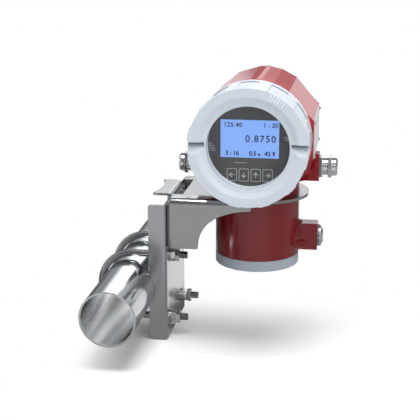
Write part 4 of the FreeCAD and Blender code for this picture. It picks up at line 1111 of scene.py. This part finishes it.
def floorFinish():
    # Pale floor that keeps the object's shadow near it and melts into white further out, sooner at the
    # rear and on the left. In reflections it is grey, lighter in front and in the sectors named above.
    finish = Finish("studioFloor", roughness=0.9, specularIorLevel=0.0)
    tone = (floorSettings["tone"],) * 3 + (1,)
    grain = finish.noise(**floorSettings["grain"])
    finish.feed(baseColour=finish.shade(tone, *floorSettings["grainShade"], grain))
    x, y, _ = finish.axes()
    distance = radiusRound(floorSettings["middle"], x, y)
    far = finish.step(distance, *floorSettings["fade"])
    far = far.largest(finish.step(y, *floorSettings["rearFade"]))
    far = far.largest(finish.step(0 - x, *floorSettings["leftFade"]))
    near = finish.both(finish.shader, finish.glow(floorSettings["lift"]))
    view = finish.mixed(far, near, finish.glow(1.0))

    bearing = finish.bearing(x - floorSettings["middle"][0], y)
    further = finish.step(distance, *floorMirror["frontFade"]) * (1 - floorMirror["frontNear"])
    card = finish.step(bearing.size(), *floorMirror["frontFrom"]) * floorMirror["front"]
    card = card * (further + floorMirror["frontNear"])
    for start, end, edge, more in floorMirror["sectors"]:
        card = card + finish.between(bearing, start, end, edge) * more
    card = finish.glow(card + floorMirror["ground"])

    camera = finish.add("LightPath", output="Is Camera Ray")
    seen = camera.largest(finish.add("LightPath", output="Is Transmission Ray"))
    mirrored = finish.add("LightPath", output="Is Glossy Ray")
    result = finish.mixed(mirrored, finish.mixed(seen, finish.shader, view), card)
    finish.plug(finish.output.inputs["Surface"], result)
    return finish.material


def makeFloor():
    half = floorSettings["size"] / 2
    height = cadBox[0].z - floorSettings["gap"]
    corners = [(x, y, height) for x, y in ((-half, -half), (half, -half), (half, half), (-half, half))]
    mesh = bpy.data.meshes.new("floor")
    mesh.from_pydata(corners, [], [(0, 1, 2, 3)])
    mesh.materials.append(floorFinish())
    addObject("floor", mesh)


# what matt surfaces get from all round, and more from above, from the front and from the right, each over
# a stretch of that direction; what mirrors get from all round; and the white that the camera sees
worldSettings = {
    "tint": (0.97, 0.985, 1.0, 1),
    "low": 0.13,
    "sky": 0.32,
    "skyStretch": (-0.05, 0.85),
    "front": 0.14,
    "right": 0.3,
    "sideStretch": (0.0, 0.9),
    "mirrorLow": 0.25,
    "camera": 1.04,
}

# brighter patches that mirrors see: bearing from and to in degrees and the softness of those edges,
# height from and to (the direction's z, -1 to 1) and the softness of those, and how much they add
mirrorPatches = [
    {"bearing": (-17.0, 27.0), "soft": 4.0, "height": (-2.0, 0.5), "fade": 0.1, "more": 0.5},
    {"bearing": (-21.0, 8.0), "soft": 2.5, "height": (0.28, 0.5), "fade": 0.02, "more": 0.97},
    {"bearing": (-21.0, 8.0), "soft": 2.5, "height": (0.19, 0.28), "fade": 0.02, "more": 0.3},
    {"bearing": (-118.0, -76.0), "soft": 3.0, "height": (-2.0, 2.0), "fade": 0.1, "more": 0.7},
]

# lighter and darker strips low on the wall behind the object: bearing from and to, and how much
mirrorStrips = [
    (-40.0, -9.6, 0.1),
    (-9.6, -7.6, -0.62),
    (-7.6, -5.3, -0.6),
    (-5.3, -3.8, 0.1),
    (-3.8, 0.6, -0.43),
    (0.6, 5.6, -0.52),
    (5.6, 15.0, 0.1),
]
stripEdge = {"soft": 0.4, "top": 0.185, "fade": 0.015}


def makeWorld():
    # Soft studio. The camera sees white, matt surfaces get an even pale light, and reflections
    # show a pale wall behind the object with a bright panel on it, and grey elsewhere.
    world = bpy.data.worlds.new("studio")
    bpy.context.scene.world = world
    sky = Wiring(world)
    x, y, z = sky.split(sky.add("TexCoord", output="Generated"))
    soft = worldSettings["low"] + sky.step(z, *worldSettings["skyStretch"]) * worldSettings["sky"]
    soft = soft + sky.step(0 - y, *worldSettings["sideStretch"]) * worldSettings["front"]
    soft = soft + sky.step(x, *worldSettings["sideStretch"]) * worldSettings["right"]
    bearing = sky.bearing(x, y)
    hard = worldSettings["mirrorLow"]
    for patch in mirrorPatches:
        across = sky.between(bearing, *patch["bearing"], patch["soft"])
        upward = sky.between(z, *patch["height"], patch["fade"])
        hard = hard + across * upward * patch["more"]
    low = sky.below(z, stripEdge["top"], stripEdge["fade"])
    for start, end, more in mirrorStrips:
        hard = hard + sky.between(bearing, start, end, stripEdge["soft"]) * low * more
    seen = sky.add("LightPath", output="Is Camera Ray")
    mirrored = sky.add("LightPath", output="Is Glossy Ray")
    strength = (soft * (1 - mirrored) + hard * mirrored) * (1 - seen) + seen * worldSettings["camera"]
    light = sky.add("Background", {}, {"Color": worldSettings["tint"], "Strength": strength})
    sky.add("OutputWorld", {}, {"Surface": light})


lamps = {
    "overhead": {"at": (0.14, -0.27, 1.15), "to": (0.1, 0.0, 0.1), "size": (0.62, 0.56), "watts": 11.5},
    "front": {"at": (0.55, -1.35, 0.85), "to": (0.12, 0.0, 0.12), "size": (0.7, 0.6), "watts": 2.4},
    "right": {"at": (1.2, -0.5, 0.6), "to": (0.15, 0.0, 0.1), "size": (0.4, 0.8), "watts": 1.6},
}


def makeLamps():
    for name, setting in lamps.items():
        light = bpy.data.lights.new(name, "AREA")
        light.shape = "RECTANGLE"
        light.size, light.size_y = setting["size"]
        light.energy = setting["watts"]
        lamp = addObject(name, light)
        lamp.location = setting["at"]
        away = Vector(setting["to"]) - Vector(setting["at"])
        lamp.rotation_euler = away.to_track_quat("-Z", "Y").to_euler()


# the photograph's view, with the focal length in pixels of its frame; angles are degrees
cameraSettings = {"target": (0.0834, 0.0, 0.0792), "azimuth": 8.646, "elevation": 15.185, "distance": 1.1647,
                  "focal": 1032.5, "frame": 420, "sensor": 36.0, "clip": (0.01, 100)}


def makeCamera():
    azimuth = math.radians(cameraSettings["azimuth"])
    elevation = math.radians(cameraSettings["elevation"])
    level = math.cos(elevation)
    back = Vector((math.sin(azimuth) * level, -math.cos(azimuth) * level, math.sin(elevation)))
    data = bpy.data.cameras.new("camera")
    data.sensor_width = cameraSettings["sensor"]
    data.lens = cameraSettings["focal"] / cameraSettings["frame"] * cameraSettings["sensor"]
    data.clip_start, data.clip_end = cameraSettings["clip"]
    camera = addObject("camera", data)
    camera.location = Vector(cameraSettings["target"]) + back * cameraSettings["distance"]
    camera.rotation_mode = "QUATERNION"
    camera.rotation_quaternion = (-back).to_track_quat("-Z", "Y")
    bpy.context.scene.camera = camera


makeFloor()
makeWorld()
makeLamps()
makeCamera()
bpy.context.scene.view_settings.view_transform = "Standard"
print("stage: floor, light, camera")

bpy.context.view_layer.update()
